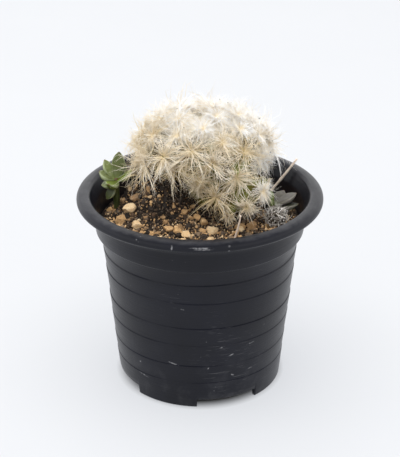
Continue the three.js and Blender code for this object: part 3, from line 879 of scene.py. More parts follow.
def cactus_flesh():
    """Olive skin with brown and fresh green patches and faint white dots, felted on the crown."""
    flesh = settings().flesh
    material, g, shader = new_finish("cactus_flesh", roughness=0.7, specular=0.04)
    place = object_place(g)
    patches = g.noise(place, 160, detail=4)
    dots = g.rise(g.cells(place, 1700), 0.2, 0.08)
    brown = (0.085, 0.055, 0.022)
    fresh = (0.2, 0.24, 0.05)
    skin = g.ramp(patches, ((0.36, brown), (0.52, flesh.body), (0.68, fresh)))
    dotted = g.blend(g.math("MULTIPLY", dots, 0.35), skin, (0.5, 0.55, 0.35))
    felt = g.rise(g.math("ADD", g.part(place, 2), g.math("MULTIPLY", patches, 0.012)), 0.108, 0.114)
    g.put(shader.inputs["Base Color"], g.blend(g.math("MULTIPLY", felt, 0.85), dotted, settings().wool.tip))
    shader.inputs["Subsurface Weight"].default_value = 0.15
    shader.inputs["Subsurface Scale"].default_value = 0.0015
    shader.inputs["Subsurface Radius"].default_value = (1, 1, 0.5)
    g.put(shader.inputs["Normal"], g.bump(g.noise(place, 1200, detail=2), 0.2, 0.0002))
    return material


def leaf_finish(name, green, bloom, edge):
    """Waxy leaf: each with its own brightness, fresh green and bloom, a thin pale margin and a dry tip."""
    material, g, shader = new_finish(name, roughness=0.42, specular=0.4)
    place = object_place(g)
    around = g.part(map_place(g), 0)
    along = g.part(map_place(g), 1)
    look = g.add("ShaderNodeAttribute", attribute_name="look", out="Vector")
    coloured = g.blend(g.part(look, 1), green, settings().flesh.fresh_leaf)
    patches = g.noise(place, 300, detail=4)
    mottled = g.math("ADD", 0.7, g.math("MULTIPLY", g.rise(patches, 0.3, 0.75), 0.6))
    body = g.vector("SCALE", coloured, g.math("MULTIPLY", g.part(look, 0), mottled))
    rooted = g.blend(g.rise(along, 0.25, 0.0), body, settings().flesh.fresh_leaf)
    powder = g.math("ADD", 0.35, g.math("MULTIPLY", g.rise(g.noise(place, 700, detail=5), 0.45, 0.72), 0.65))
    powder = g.math("MULTIPLY", powder, g.part(look, 2))
    powdered = g.blend(powder, rooted, bloom)
    margin = g.add("ShaderNodeAttribute", attribute_name="margin", out="Fac")
    edged = g.blend(g.math("MULTIPLY", margin, 0.7), powdered, edge)
    g.put(shader.inputs["Base Color"], g.blend(g.rise(along, 0.93, 1.0), edged, (0.12, 0.07, 0.035)))
    g.put(shader.inputs["Roughness"], g.math("ADD", 0.38, g.math("MULTIPLY", powder, 0.3)))
    shader.inputs["Subsurface Weight"].default_value = 0.12
    shader.inputs["Subsurface Scale"].default_value = 0.0012
    shader.inputs["Subsurface Radius"].default_value = (0.8, 1, 0.3)
    veins = g.math("SINE", g.math("MULTIPLY", around, 2 * math.pi * 40))
    ribbed = g.bump(veins, 0.05, 0.0001)
    g.put(shader.inputs["Normal"], g.bump(patches, 0.15, 0.0002, ribbed))
    return material


def dry_straw():
    """Bleached stem with long fibres and a few brown flecks."""
    material, g, shader = new_finish("dry_straw", roughness=0.7, specular=0.35)
    place = object_place(g)
    around = g.math("MULTIPLY", g.part(map_place(g), 0), 30)
    along = g.math("MULTIPLY", g.part(map_place(g), 1), 6)
    fibres = g.noise(g.combine(around, along), 1)
    flecks = g.rise(g.noise(place, 900, detail=3), 0.6, 0.72)
    straw = settings().flesh.straw
    dull = [c * 0.62 for c in straw]
    bright = [min(1, c * 1.2) for c in straw]
    body = g.ramp(fibres, ((0.3, dull), (0.55, straw), (0.8, bright)))
    g.put(shader.inputs["Base Color"], g.blend(flecks, body, (0.22, 0.12, 0.07)))
    g.put(shader.inputs["Normal"], g.bump(fibres, 0.5, 0.0001))
    return material


# ---- Pot ----------------------------------------------------------------------------------------


def notch_lift(angle):
    """How far the foot's lower edge is raised at an angle from the front, in millimetres."""
    pitch = 2 * math.pi / NOTCH_COUNT
    away = abs((angle - FIRST_NOTCH + pitch / 2) % pitch - pitch / 2)
    ramp = min(max((NOTCH_WIDTH / 2 - away) / NOTCH_CORNER + 0.5, 0), 1)
    return NOTCH_HEIGHT * ramp * ramp * (3 - 2 * ramp)


def pot_corners():
    """The closed section of the pot as radius, height and rounding of each corner."""
    height = pot_height()
    rim = settings().pot.rim_radius / MM
    lip = height - LIP_DEPTH
    wall = settings().pot.wall / MM
    corners = [
        (0, BASE_UNDERSIDE, 0),
        (wall_radius(0) - wall, BASE_UNDERSIDE, 0.3),
        (wall_radius(0) - wall, 0, 0.25),
        (wall_radius(0), 0, 0.35),
    ]
    for at, step in LEDGES:
        corners.append((wall_radius(at) + step / 2, at, 0.14))
        corners.append((wall_radius(at) - step / 2, at + 0.3, 0.14))
    corners += [
        (wall_radius(COLLAR_HEIGHT) + 0.6, COLLAR_HEIGHT - 0.5, 0.5),
        (COLLAR_RADIUS, COLLAR_HEIGHT + 0.2, 0.5),
        (COLLAR_RADIUS + 0.9, COLLAR_HEIGHT + 9, 1.5),
        (COLLAR_RADIUS + 2.9, lip - 1.4, 1.0),
        (rim - 0.6, lip - 0.3, 0.5),
        (rim, lip + 0.4, 0.5),
        (rim, height - 1.7, 1.1),
        (rim - 0.7, height - 0.5, 0.9),
        (rim - 2.3, height, 1.2),
        (RIM_INNER_RADIUS + 0.8, height, 0.5),
    ]
    corners += [(radius, z, 0.5) for radius, z in reversed(inside_profile())]
    corners.append((0, BASE_TOP, 0))
    return corners


def rounded_section(corners, steps=4):
    """Each corner with a rounding becomes a short curve. Long straights get points in between."""
    points = []
    for i, (radius, z, rounding) in enumerate(corners):
        here = Vector((radius, z))
        if not rounding:
            points.append(here)
            continue
        before = Vector(corners[i - 1][:2])
        after = Vector(corners[i + 1][:2])
        cut = min(rounding, (before - here).length / 2.1, (after - here).length / 2.1)
        start = here + (before - here).normalized() * cut
        end = here + (after - here).normalized() * cut
        for k in range(steps + 1):
            t = k / steps
            points.append(start * (1 - t) ** 2 + here * 2 * t * (1 - t) + end * t * t)
    dense = []
    for here, after in zip(points, points[1:]):
        pieces = max(1, round((after - here).length / 3))
        dense += [here.lerp(after, k / pieces) for k in range(pieces)]
    return [*dense, points[-1]]


def pot_angles():
    """Even steps round the pot, with closer ones at the sides of the notches."""
    angles = {2 * math.pi * j / POT_SEGMENTS for j in range(POT_SEGMENTS)}
    for i in range(NOTCH_COUNT):
        for side in (-0.5, 0.5):
            edge = FIRST_NOTCH + 2 * math.pi * i / NOTCH_COUNT + side * NOTCH_WIDTH
            angles.update((edge + step * NOTCH_CORNER) % (2 * math.pi) for step in (-0.5, -0.2, 0.2, 0.5))
    return sorted(angles)


def pot_mesh(material):
    """The section turned round the axis, with notches in the foot and a hand-made unevenness."""
    section = rounded_section(pot_corners())
    inner = len(section) - 2
    points = []
    angles = pot_angles()
    for angle in angles:
        turn = Vector((math.sin(angle), -math.cos(angle), 0))
        for place in section[1:-1]:
            low = min(place.y / BASE_UNDERSIDE, 1)
            z = place.y + notch_lift(angle) * (1 - low)
            swell = 0.22 * noise.noise(Vector((turn.x * 1.3, turn.y * 1.3, place.y / 30)))
            radius = place.x + swell * min(max((place.y - 5) / 10, 0), 1)
            points.append(turn * radius + Vector((0, 0, z)))
    faces = []
    for j in range(len(angles)):
        this, following = j * inner, (j + 1) % len(angles) * inner
        for i in range(inner - 1):
            faces.append((this + i, following + i, following + i + 1, this + i + 1))
    centre = len(points)
    points += [Vector((0, 0, BASE_UNDERSIDE)), Vector((0, 0, BASE_UNDERSIDE + BASE_THICKNESS))]
    for j in range(len(angles)):
        this, following = j * inner, (j + 1) % len(angles) * inner
        faces.append((centre, following, this))
        faces.append((centre + 1, this + inner - 1, following + inner - 1))
    return new_object("pot_shell", points, faces, material)


def drain_drill():
    """Posts that cut the drainage holes: one in the middle and one over each foot."""
    drill = bmesh.new()
    places = [(0, 0)]
    for i in range(NOTCH_COUNT):
        away = FIRST_NOTCH + (i + 0.5) * NOTCH_PITCH
        places.append((DRAIN_RING * math.sin(away), -DRAIN_RING * math.cos(away)))
    for x, y in places:
        middle = (x, y, BASE_UNDERSIDE + BASE_THICKNESS / 2)
        post_into(drill, middle, (DRAIN_RADIUS, DRAIN_RADIUS), DRILL_LENGTH, 40)
    return from_bmesh("drain_drill", drill)


class CACTUS_OT_pot(bpy.types.Operator):
    """Turn the plastic pot, notch its foot and drill its drainage holes"""

    bl_idname = "cactus.pot"
    bl_label = "Pot"

    def execute(self, context):
        pot = pot_mesh(pot_plastic())
        drill = drain_drill()
        cut = pot.modifiers.new("drainage", "BOOLEAN")
        cut.operation = "DIFFERENCE"
        cut.solver = "EXACT"
        cut.object = drill
        with_modifiers(pot)
        bpy.data.objects.remove(drill)
        finished(pot, ["pot"])
        return {"FINISHED"}


# ---- Soil ---------------------------------------------------------------------------------------


def crumbled(x, y):
    """The soil's height with its crumbs, which fade at the wall. Millimetres."""
    place = Vector((x, y, 0))
    clods = noise.fractal(place * 0.16, 0.7, 2.1, 4) * 1.1
    crumbs = noise.fractal(place * 0.8, 0.7, 2.0, 4) * 0.55
    edge = min(max((41 - math.hypot(x, y)) / 3, 0.25), 1)
    return soil_height(x, y) + (clods + crumbs) * edge - 0.3


def soil_fill(material):
    """The whole filling: an uneven top, a side down the pot's inside and a flat bottom."""
    rings, around = 104, 320
    level = settings().soil.level / MM
    rim = inside_radius(level) - SOIL_CLEARANCE
    bottom = BASE_UNDERSIDE + BASE_THICKNESS + SOIL_CLEARANCE
    rows = [(rim * i / rings, None) for i in range(1, rings + 1)]
    heights = [COLLAR_HEIGHT + 2, COLLAR_HEIGHT - 1, 45, 25, bottom]
    rows += [(inside_radius(z) - SOIL_CLEARANCE, z) for z in heights]
    points = [(0, 0, crumbled(0, 0))]
    for radius, z in rows:
        for j in range(around):
            turn = 2 * math.pi * j / around
            x, y = radius * math.cos(turn), radius * math.sin(turn)
            points.append((x, y, crumbled(x, y) if z is None else z))
    points.append((0, 0, bottom))
    faces = []
    for j in range(around):
        k = (j + 1) % around
        faces.append((0, 1 + j, 1 + k))
        for row in range(len(rows) - 1):
            low = 1 + row * around
            faces.append((low + j, low + around + j, low + around + k, low + k))
        low = 1 + (len(rows) - 1) * around
        faces.append((low + j, len(points) - 1, low + k))
    return new_object("soil_fill", points, faces, material)


def reach_in_pot(z, radius):
    """How far from the axis a stone of some radius may lie at a height before it meets the pot."""
    return inside_radius(z - radius) - radius


def soil_top(name, density, stone):
    """Only the open top of the soil, with a density at each point, for stones to lie on, up to the place
    where the largest stone meets the pot."""
    step = 1.5
    reach = reach_in_pot(settings().soil.level / MM, stone)
    count = int(reach / step)
    places = {}
    points = []
    shares = []
    for i in range(-count, count + 1):
        for j in range(-count, count + 1):
            x, y = i * step, j * step
            if math.hypot(x, y) < reach:
                places[i, j] = len(points)
                points.append((x, y, crumbled(x, y)))
                shares.append(density(x, y))
    faces = []
    for (i, j), first in places.items():
        ring = [(i, j), (i + 1, j), (i + 1, j + 1), (i, j + 1)]
        if all(corner in places for corner in ring):
            faces.append([places[corner] for corner in ring])
    rises = [soil_height(x, y) - settings().soil.level / MM for x, y, _ in points]
    heaped = np.clip(np.asarray(rises) / HIGH_HEAP, 0, 1)
    return with_attributes(new_object(name, points, faces), {"share": shares, "heaped": heaped})


def scatter_tree():
    """Stones or grains over a surface: random size, turn, shape and tone. The bias favours dark tones."""
    inputs = {
        "Spacing": 0.001,
        "Size": 0.001,
        "Size spread": 0.3,
        "Sink": 0.2,
        "Fineness": 2,
        "Knobbly": 0.2,
        "Tone low": 0.0,
        "Tone high": 1.0,
        "Bias": 1.0,
        "Drift": 1.3,
        "Heap": 0.28,
        "Seed": 1,
        "Material": bpy.types.Material,
    }
    tree, g, given = geometry_tree("scattered_stones", inputs)
    spread = {
        "Mesh": given["Geometry"],
        "Distance Min": given["Spacing"],
        "Density Max": g.math("DIVIDE", 1.6, g.math("POWER", given["Spacing"], 2)),
        "Density Factor": g.named("share"),
        "Seed": given["Seed"],
    }
    points = g.add("GeometryNodeDistributePointsOnFaces", spread, distribute_method="POISSON")
    index = g.add("GeometryNodeInputIndex")
    drift = g.math("SUBTRACT", g.noise(g.add("GeometryNodeInputPosition"), 105, detail=3, roughness=0.7), 0.5)
    drawn = g.math("POWER", g.random(0.0, 1.0, index, 11), given["Bias"])
    span = g.math("SUBTRACT", given["Tone high"], given["Tone low"])
    tone = g.math("ADD", given["Tone low"], g.math("MULTIPLY", drawn, span))
    tone = g.math("SUBTRACT", tone, g.math("MULTIPLY", g.named("heaped"), given["Heap"]))
    tone = g.math("ADD", tone, g.math("MULTIPLY", drift, given["Drift"]), clamp=True)
    least = g.math("SUBTRACT", 1.0, given["Size spread"])
    growth = g.random(least, g.math("ADD", 1.0, given["Size spread"]), index, 12)
    size = g.math("MULTIPLY", given["Size"], growth)
    toned = g.store(points, "tone", tone)
    sized = g.store(toned, "size", size)
    drop = g.combine(z=g.math("MULTIPLY", size, g.math("MULTIPLY", given["Sink"], -1.0)))
    sunk = g.add("GeometryNodeSetPosition", {"Geometry": sized, "Offset": drop})
    ball = g.add("GeometryNodeMeshIcoSphere", {"Radius": 1.0, "Subdivisions": given["Fineness"]})
    squash = g.random((0.62, 0.62, 0.55), (1.25, 1.25, 1.0), index, 13, "FLOAT_VECTOR")
    turn = g.random((0, 0, 0), (6.28, 6.28, 6.28), index, 14, "FLOAT_VECTOR")
    placed = {
        "Points": sunk,
        "Instance": ball,
        "Rotation": g.add("FunctionNodeEulerToRotation", {0: turn}),
        "Scale": g.vector("SCALE", squash, size),
    }
    stones = g.add("GeometryNodeInstanceOnPoints", placed)
    real = g.add("GeometryNodeRealizeInstances", {"Geometry": stones})
    here = g.add("GeometryNodeInputPosition")
    scaled = g.vector("DIVIDE", here, g.combine(*[g.named("size")] * 3))
    lumps = g.math("SUBTRACT", g.noise(scaled, 1.5, detail=3, roughness=0.6), 0.5)
    push = g.math("MULTIPLY", g.math("MULTIPLY", lumps, given["Knobbly"]), g.named("size"))
    outwards = g.vector("SCALE", g.add("GeometryNodeInputNormal"), g.math("MULTIPLY", push, 4.0))
    shaped = g.add("GeometryNodeSetPosition", {"Geometry": real, "Offset": outwards})
    flat = g.add("GeometryNodeSetShadeSmooth", {"Geometry": shaped, "Shade Smooth": False})
    normal = g.add("GeometryNodeInputNormal")
    u = g.math("ADD", g.math("MULTIPLY", g.named("tone"), 0.96), g.math("MULTIPLY", g.part(normal, 0), 0.015))
    # Painted shade: the map's second place rises on faces that look up, and the grit finish paints them
    # lighter
    v = g.math("ADD", 0.5, g.math("MULTIPLY", g.part(normal, 2), 0.4))
    mapped = g.store(flat, BAKE_MAP, g.combine(u, v), "FLOAT2", "CORNER")
    close_tree(g, mapped, given["Material"])
    return tree


def everywhere(x, y):
    return 1.0


def clear_of_heap(x, y):
    """How thickly pebbles lie: fewer the higher the soil is heaped."""
    rise = soil_height(x, y) - settings().soil.level / MM
    return 0.05 + 0.95 * min(max(1 - rise / 5, 0), 1)


def stone_mesh(name, centre, radius, seed, material, fineness=4):
    """One angular stone: a ball pushed in by a few random planes, then roughened."""
    draw = np.random.default_rng(seed)
    ball = bmesh.new()
    bmesh.ops.create_icosphere(ball, subdivisions=fineness, radius=1)
    planes = draw.normal(size=(14, 3))
    planes /= np.linalg.norm(planes, axis=1)[:, None]
    depths = draw.uniform(0.58, 0.9, 14)
    stretch = Vector(draw.uniform((0.85, 0.8, 0.7), (1.2, 1.05, 0.9)))
    shift = Vector(draw.uniform(-50, 50, 3))
    for vertex in ball.verts:
        place = vertex.co.copy()
        for plane, depth in zip(planes, depths):
            outside = place.dot(Vector(plane)) - depth
            if outside > 0:
                place -= Vector(plane) * outside * 0.97
        place *= 1 + 0.1 * noise.fractal(place * 2.4 + shift, 0.6, 2.2, 6)
        vertex.co = Vector([p * s for p, s in zip(place, stretch)]) * radius * MM
    turn = Matrix.Rotation(draw.uniform(0, 6.28), 4, "Z") @ Matrix.Rotation(draw.uniform(-0.4, 0.4), 4, "X")
    ball.transform(Matrix.Translation(to_metres(centre)) @ turn)
    return from_bmesh(name, ball, material)


def tone_of(piece, tone):
    return with_attributes(piece, {"tone": [tone] * len(piece.data.vertices)})


class CACTUS_OT_soil(bpy.types.Operator):
    """Fill the pot with compost, then strew it with pebbles, chips and grains"""

    bl_idname = "cactus.soil"
    bl_label = "Soil"

    def execute(self, context):
        soil = settings().soil
        finished(soil_fill(compost()), ["soil"])

        clay = clay_stone()
        seen = []
        for i, ((px, py), across, tone) in enumerate(PEBBLES):
            place = soil_under_pixel(px, py)
            lift = across * PEBBLE_LIFT
            room = reach_in_pot(place.z + lift, across * 0.55) / math.hypot(place.x, place.y)
            x, y = place.x * min(room, 1), place.y * min(room, 1)
            centre = (x, y, crumbled(x, y) + lift)
            seen.append(tone_of(stone_mesh(f"pebble_{i}", centre, across / 2, 40 + i, clay), tone))
        finished(joined("seen_pebbles", seen), ["soil"])

        small = grit()
        tree = scatter_tree()
        layers = (
            # name, where, spacing in radii, radius, its spread, sink, fineness, knobbly, tones, bias,
            # material
            ("soil_pebbles", clear_of_heap, 2.6, soil.pebble, 0.42, 0.35, 3, 0.3, (0.66, 0.96), 1.0, clay),
            ("soil_chips", everywhere, 2.1, soil.chip, 0.4, 0.1, 2, 0.36, (0.05, 1.0), 1.5, small),
            ("soil_grains", everywhere, 1.9, soil.grain, 0.45, 0.0, 1, 0.3, (0.1, 1.05), 1.35, small),
            ("soil_crumbs", everywhere, 1.8, soil.crumb, 0.5, -0.3, 1, 0.3, (0.3, 1.1), 1.1, small),
        )
        for seed, layer in enumerate(layers):
            name, where, gap, size, spread, sink, fineness, knobbly, tones, bias, material = layer
            values = {
                "Spacing": gap * size,
                "Size": size,
                "Size spread": spread,
                "Sink": sink,
                "Fineness": fineness,
                "Knobbly": knobbly,
                "Tone low": tones[0],
                "Tone high": tones[1],
                "Bias": bias,
                "Seed": 5 + seed,
                "Material": material,
            }
            largest = size * (1 + spread) * 1.1 / MM
            finished(grown(soil_top(name, where, largest), tree, values), ["soil"])
        return {"FINISHED"}


# ---- Cactus -------------------------------------------------------------------------------------


def depth_in(lobe, point, grown_by):
    """Below 1 inside a lobe once it is grown by some millimetres."""
    centre, radii = lobe[:2]
    return math.hypot(*[(p - c) / (r + grown_by) for p, c, r in zip(point, centre, radii)])


def areoles():
    """Where the stars of hair grow: a golden-angle spiral from each lobe's crown, less what is hidden,
    crowded or too low. Each is its root, its outward direction, its tip and its lobe's length of hair."""
    found = []
    for lobe in LOBES:
        centre, radii, lowest, start, hair = Vector(lobe[0]), *lobe[1:]
        mean = np.prod([r + TUBERCLE_LENGTH for r in radii]) ** (1 / 3)
        count = round(4 * math.pi * mean**2 / (AREOLE_SPACING**2 * HEXAGONAL))
        for i in range(count):
            z = 1 - (2 * i + 1) / count
            turn = i * GOLDEN_ANGLE + start
            level = math.sqrt(1 - z * z)
            unit = (level * math.cos(turn), level * math.sin(turn), z)
            root = Vector([u * r for u, r in zip(unit, radii)]) + centre
            aim = Vector([u / r for u, r in zip(unit, radii)]).normalized()
            tip = root + aim * TUBERCLE_LENGTH
            hidden = any(other is not lobe and depth_in(other, tip, 2) < 1 for other in LOBES)
            crowded = any((tip - known[2]).length < AREOLE_SPACING * 0.72 for known in found)
            low = tip.z < soil_height(tip.x, tip.y) + SOIL_MARGIN or aim.z < lowest
            taken = any((tip - Vector(middle)).length < reach for middle, reach in ROOM)
            if not (hidden or crowded or low or taken):
                found.append((root, aim, tip, hair))
    return found


def flesh_mesh(places, material):
    """Lobes, neck and tubercles melted into one skin."""
    whole = bmesh.new()
    for centre, radii, *_ in LOBES:
        ball = Matrix.Translation(to_metres(centre)) @ Matrix.Diagonal((*radii, 1))
        bmesh.ops.create_icosphere(whole, subdivisions=4, radius=MM, matrix=ball)
    (x, y), (foot, foot_radius), (top, top_radius) = NECK.values()
    post_into(whole, (x, y, (foot + top) / 2), (foot_radius, top_radius), top - foot, 32)
    for root, aim, *_ in places:
        turn = aim.to_track_quat("Z", "Y").to_matrix().to_4x4()
        reach = TUBERCLE_LENGTH + TUBERCLE_ROOT
        middle = root + aim * (reach / 2 - TUBERCLE_ROOT)
        post_into(whole, middle, TUBERCLE_RADII, reach, 14, turn)
    made = from_bmesh("cactus_flesh", whole)
    melt = made.modifiers.new("melt", "REMESH")
    melt.mode = "VOXEL"
    melt.voxel_size = 0.65 * MM
    soften = made.modifiers.new("soften", "SMOOTH")
    soften.iterations = 5
    with_modifiers(made)
    made.data.materials.clear()
    made.data.materials.append(material)
    made.data.shade_smooth()
    return made


def wool_tree():
    """Hairs that radiate from each point: their number, length, rise, bend and thickness."""
    inputs = {
        "Hairs": 100,
        "Lock": 5,
        "Frizz": 0.07,
        "Steps": HAIR_STEPS,
        "Length": 0.008,
        "Length spread": 0.3,
        "Longest": 0.5,
        "Lift": 0.85,
        "Radius": 0.0001,
        "Rise low": 0.05,
        "Rise high": 0.62,
        "Tuft": 0.0009,
        "Curl": 0.5,
        "Sag": 0.2,
        "Stray": 0.52,
        "Wave": 0.18,
        "Seed": 1,
        "Material": bpy.types.Material,
    }
    tree, g, given = geometry_tree("star_wool", inputs)
    points = g.add("GeometryNodeMeshToPoints", {"Mesh": given["Geometry"]})
    thicker = g.math("ADD", 1.0, g.math("MULTIPLY", g.named("soft"), SOFT_HAIRS))
    amount = g.math("MULTIPLY", given["Hairs"], thicker)
    many = g.add("GeometryNodeDuplicateElements", {"Geometry": points, "Amount": amount}, domain="POINT")
    rooted = g.store(many, "start", g.add("GeometryNodeInputPosition"), "FLOAT_VECTOR")
    counted = g.store(rooted, "hair", g.add("GeometryNodeInputIndex"), "INT")
    line = g.add("GeometryNodeCurvePrimitiveLine", {"End": (0, 0, 0.001)})
    steps = g.add("GeometryNodeResampleCurve", {"Curve": line, "Count": given["Steps"]})
    copies = g.add("GeometryNodeInstanceOnPoints", {"Points": counted, "Instance": steps})
    strands = g.add("GeometryNodeRealizeInstances", {"Geometry": copies})

    aim = g.named("aim", "FLOAT_VECTOR")
    start = g.named("start", "FLOAT_VECTOR")
    hair = g.named("hair", "INT")
    lock = g.math("FLOOR", g.math("DIVIDE", hair, given["Lock"]))
    t = g.add("GeometryNodeSplineParameter", out="Factor")

    def draw(low, high, number, who=hair):
        kind = "FLOAT_VECTOR" if isinstance(low, tuple) else "FLOAT"
        return g.random(low, high, who, g.math("ADD", given["Seed"], number), kind)

    def both(low, high, number, share):
        """The draw of a lock with a share of the hair's own."""
        own = draw(low, high, number + 5)
        if isinstance(low, tuple):
            return g.vector("ADD", draw(low, high, number, lock), g.vector("SCALE", own, share))
        return g.math("ADD", draw(low, high, number, lock), g.math("MULTIPLY", own, share))

    stray = g.math("ADD", given["Frizz"], g.math("POWER", draw(0.0, 1.0, 150), 4.5))
    stray = g.math("ADD", stray, g.math("MULTIPLY", g.named("soft"), 0.45))
    any_way = both((-1, -1, -1), (1, 1, 1), 100, stray)
    sideways = g.vector("SUBTRACT", any_way, g.vector("SCALE", aim, g.vector("DOT_PRODUCT", any_way, aim)))
    sideways = g.vector("NORMALIZE", sideways)
    steep = g.math("POWER", draw(0.0, 1.0, 200, lock), 2.2)
    rise = g.math(
        "ADD",
        given["Rise low"],
        g.math("MULTIPLY", steep, g.math("SUBTRACT", given["Rise high"], given["Rise low"])),
    )
    ahead = g.vector("NORMALIZE", g.vector("ADD", sideways, g.vector("SCALE", aim, rise)))
    least = g.math("SUBTRACT", 1.0, given["Length spread"])
    growth = draw(least, g.math("ADD", 1.0, given["Length spread"]), 300)
    longest = g.math("MULTIPLY", g.math("POWER", draw(0.0, 1.0, 350), 10.0), given["Longest"])
    growth = g.math("ADD", growth, longest)
    reach = g.math("MULTIPLY", g.math("MULTIPLY", given["Length"], growth), g.named("span"))
    square = g.math("POWER", t, 2)

    straight = g.vector("SCALE", ahead, t)
    curl = g.math("MULTIPLY", given["Curl"], -1.0)
    inwards = g.vector("SCALE", aim, g.math("MULTIPLY", both(-0.4, 1.0, 400, 0.3), curl))
    downwards = g.combine(z=g.math("MULTIPLY", g.math("MULTIPLY", given["Sag"], g.named("hang")), -1.0))
    freer = g.math("ADD", 0.85, g.math("MULTIPLY", g.named("hang"), 0.25))
    tangle = g.math("MULTIPLY", given["Stray"], freer)
    wander = g.vector("SCALE", both((-1, -1, -1), (1, 1, 1), 500, 0.25), tangle)
    pull = g.vector("ADD", inwards, g.vector("ADD", downwards, wander))
    bent = g.vector("ADD", straight, g.vector("SCALE", pull, square))
    looser = g.math("ADD", 0.7, g.math("MULTIPLY", g.named("hang"), 0.6))
    swing = g.math("SINE", g.math("ADD", g.math("MULTIPLY", t, 8.0), both(0.0, 6.28, 600, 0.15)))
    waved = g.vector(
        "SCALE",
        both((-1, -1, -1), (1, 1, 1), 700, 0.3),
        g.math("MULTIPLY", g.math("MULTIPLY", swing, t), g.math("MULTIPLY", given["Wave"], looser)),
    )
    shape = g.vector("SCALE", g.vector("ADD", bent, waved), reach)
    tuft = g.vector("SCALE", sideways, g.math("MULTIPLY", given["Tuft"], draw(0.1, 1.0, 800, lock)))
    place = g.vector("ADD", g.vector("ADD", start, tuft), shape)
    curves = g.add("GeometryNodeSetPosition", {"Geometry": strands, "Position": place})

    lift = g.math("MULTIPLY", g.math("SUBTRACT", steep, 0.3), given["Lift"])
    tone = g.math("ADD", g.math("ADD", g.named("tint"), lift), both(-0.35, 0.35, 900, 0.3), clamp=True)
    toned = g.store(g.store(curves, "tone", tone), "along", t)
    circle = {"Resolution": HAIR_SIDES, "Radius": 1.0}
    section = g.add("GeometryNodeCurvePrimitiveCircle", circle)
    turned = g.store(section, "turn", g.add("GeometryNodeSplineParameter", out="Factor"))
    thin = g.math("SUBTRACT", 1.0, g.math("MULTIPLY", g.math("POWER", t, 1.5), 0.82))
    thin = g.math("MULTIPLY", thin, g.math("ADD", 0.55, g.math("MULTIPLY", g.rise(t, 0.0, 0.3), 0.45)))
    stout = g.math("ADD", 0.7, g.math("MULTIPLY", g.math("POWER", draw(0.0, 1.0, 1000), 4.0), 1.7))
    fine = g.math("SUBTRACT", 1.0, g.math("MULTIPLY", g.named("soft"), 0.22))
    width = g.math("MULTIPLY", g.math("MULTIPLY", g.math("MULTIPLY", given["Radius"], thin), stout), fine)
    body = {"Curve": toned, "Profile Curve": turned, "Scale": width, "Fill Caps": True}
    hairs = g.add("GeometryNodeCurveToMesh", body)
    smooth = g.add("GeometryNodeSetShadeSmooth", {"Geometry": hairs})
    snow = g.math("MULTIPLY", g.named("soft"), SNOW_WHOLE - SNOW_FROM)
    shown = g.math("MULTIPLY", g.named("tone"), SNOW_FROM)
    u = g.math("ADD", shown, g.math("MULTIPLY", g.named("turn"), 0.04))
    u = g.math("ADD", u, snow)
    v = g.math("ADD", 0.01, g.math("MULTIPLY", g.named("along"), 0.98))
    mapped = g.store(smooth, BAKE_MAP, g.combine(u, v), "FLOAT2", "CORNER")
    close_tree(g, mapped, given["Material"])
    return tree


def hair_starts(places):
    """Per areole: a tint from golden to white, a length, how far its hairs hang and how soft they are."""
    draw = np.random.default_rng(12)
    tips = np.array([tip for _, _, tip, _ in places])
    aims = np.array([aim for _, aim, _, _ in places])
    turned = aims + draw.uniform(-1, 1, aims.shape) * STAR_TILT
    turned /= np.linalg.norm(turned, axis=1)[:, None]
    soft = np.clip((np.maximum(aims[:, 2], aims[:, 0] * 1.1) - 0.52) / 0.33, 0, 1)
    tint = np.clip(draw.beta(1.3, 1.5, len(places)) + 0.35 * soft, 0, 1)
    span = draw.uniform(0.8, 1.14, len(places)) * np.interp(aims[:, 2], *zip(*HAIR_LENGTHS))
    span *= np.array([hair for *_, hair in places])
    room = [np.linalg.norm(tips - np.array(middle), axis=1) / reach for middle, reach in HAIR_ROOM]
    span *= np.clip(np.min(room, axis=0), 0.5, 1)
    hang = np.clip(0.9 - aims[:, 2] * 0.9, 0, 2)
    return tips, turned, {"tint": tint, "span": span, "hang": hang, "soft": soft}


def caught_grains(places):
    """A few dark crumbs of soil that hang in the hairs between the stars."""
    draw = np.random.default_rng(8)
    material = clay_stone()
    grains = []
    for number in range(34):
        _, aim, tip, _ = places[draw.integers(len(places))]
        beside = Vector(draw.uniform(-1, 1, 3)).cross(aim).normalized() * draw.uniform(2, 5)
        centre = tip + beside + aim * draw.uniform(0.2, 2.2)
        stone = stone_mesh(f"grain_{number}", centre, draw.uniform(0.22, 0.42), 300 + number, material, 2)
        grains.append(tone_of(stone, draw.uniform(0.05, 0.5)))
    return joined("caught_grains", grains)


class CACTUS_OT_body(bpy.types.Operator):
    """Grow the green lobes of the cactus with their tubercles"""

    bl_idname = "cactus.body"
    bl_label = "Cactus body"

    def execute(self, context):
        finished(flesh_mesh(areoles(), cactus_flesh()), ["cactus"])
        return {"FINISHED"}


class CACTUS_OT_wool(bpy.types.Operator):
    """Grow a star of hairs from each areole of the cactus"""

    bl_idname = "cactus.wool"
    bl_label = "Cactus wool"

    def execute(self, context):
        wool = settings().wool
        material = hair_finish("cactus_wool", wool.root, wool.middle, wool.tip, wool.snow)
        tree = wool_tree()
        tips, aims, looks = hair_starts(areoles())
        faces_each = HAIR_SIDES * (HAIR_STEPS - 1) * 2 + 2
        per_piece = max(1, int(PIECE_LIMIT / (wool.hairs * (1 + SOFT_HAIRS) * faces_each)))
        for number, first in enumerate(range(0, len(tips), per_piece)):
            part = slice(first, first + per_piece)
            cloud = {"aim": aims[part], **{label: values[part] for label, values in looks.items()}}
            host = point_cloud(f"cactus_wool_{number + 1}", tips[part], cloud)
            values = {
                "Hairs": wool.hairs,
                "Length": wool.length,
                "Radius": wool.thickness / 2,
                "Seed": 20 + number,
                "Material": material,
            }
            finished(grown(host, tree, values), ["cactus"])
        finished(caught_grains(areoles()), ["cactus"])
        return {"FINISHED"}


# ---- Pup, succulents and stalks -----------------------------------------------------------------


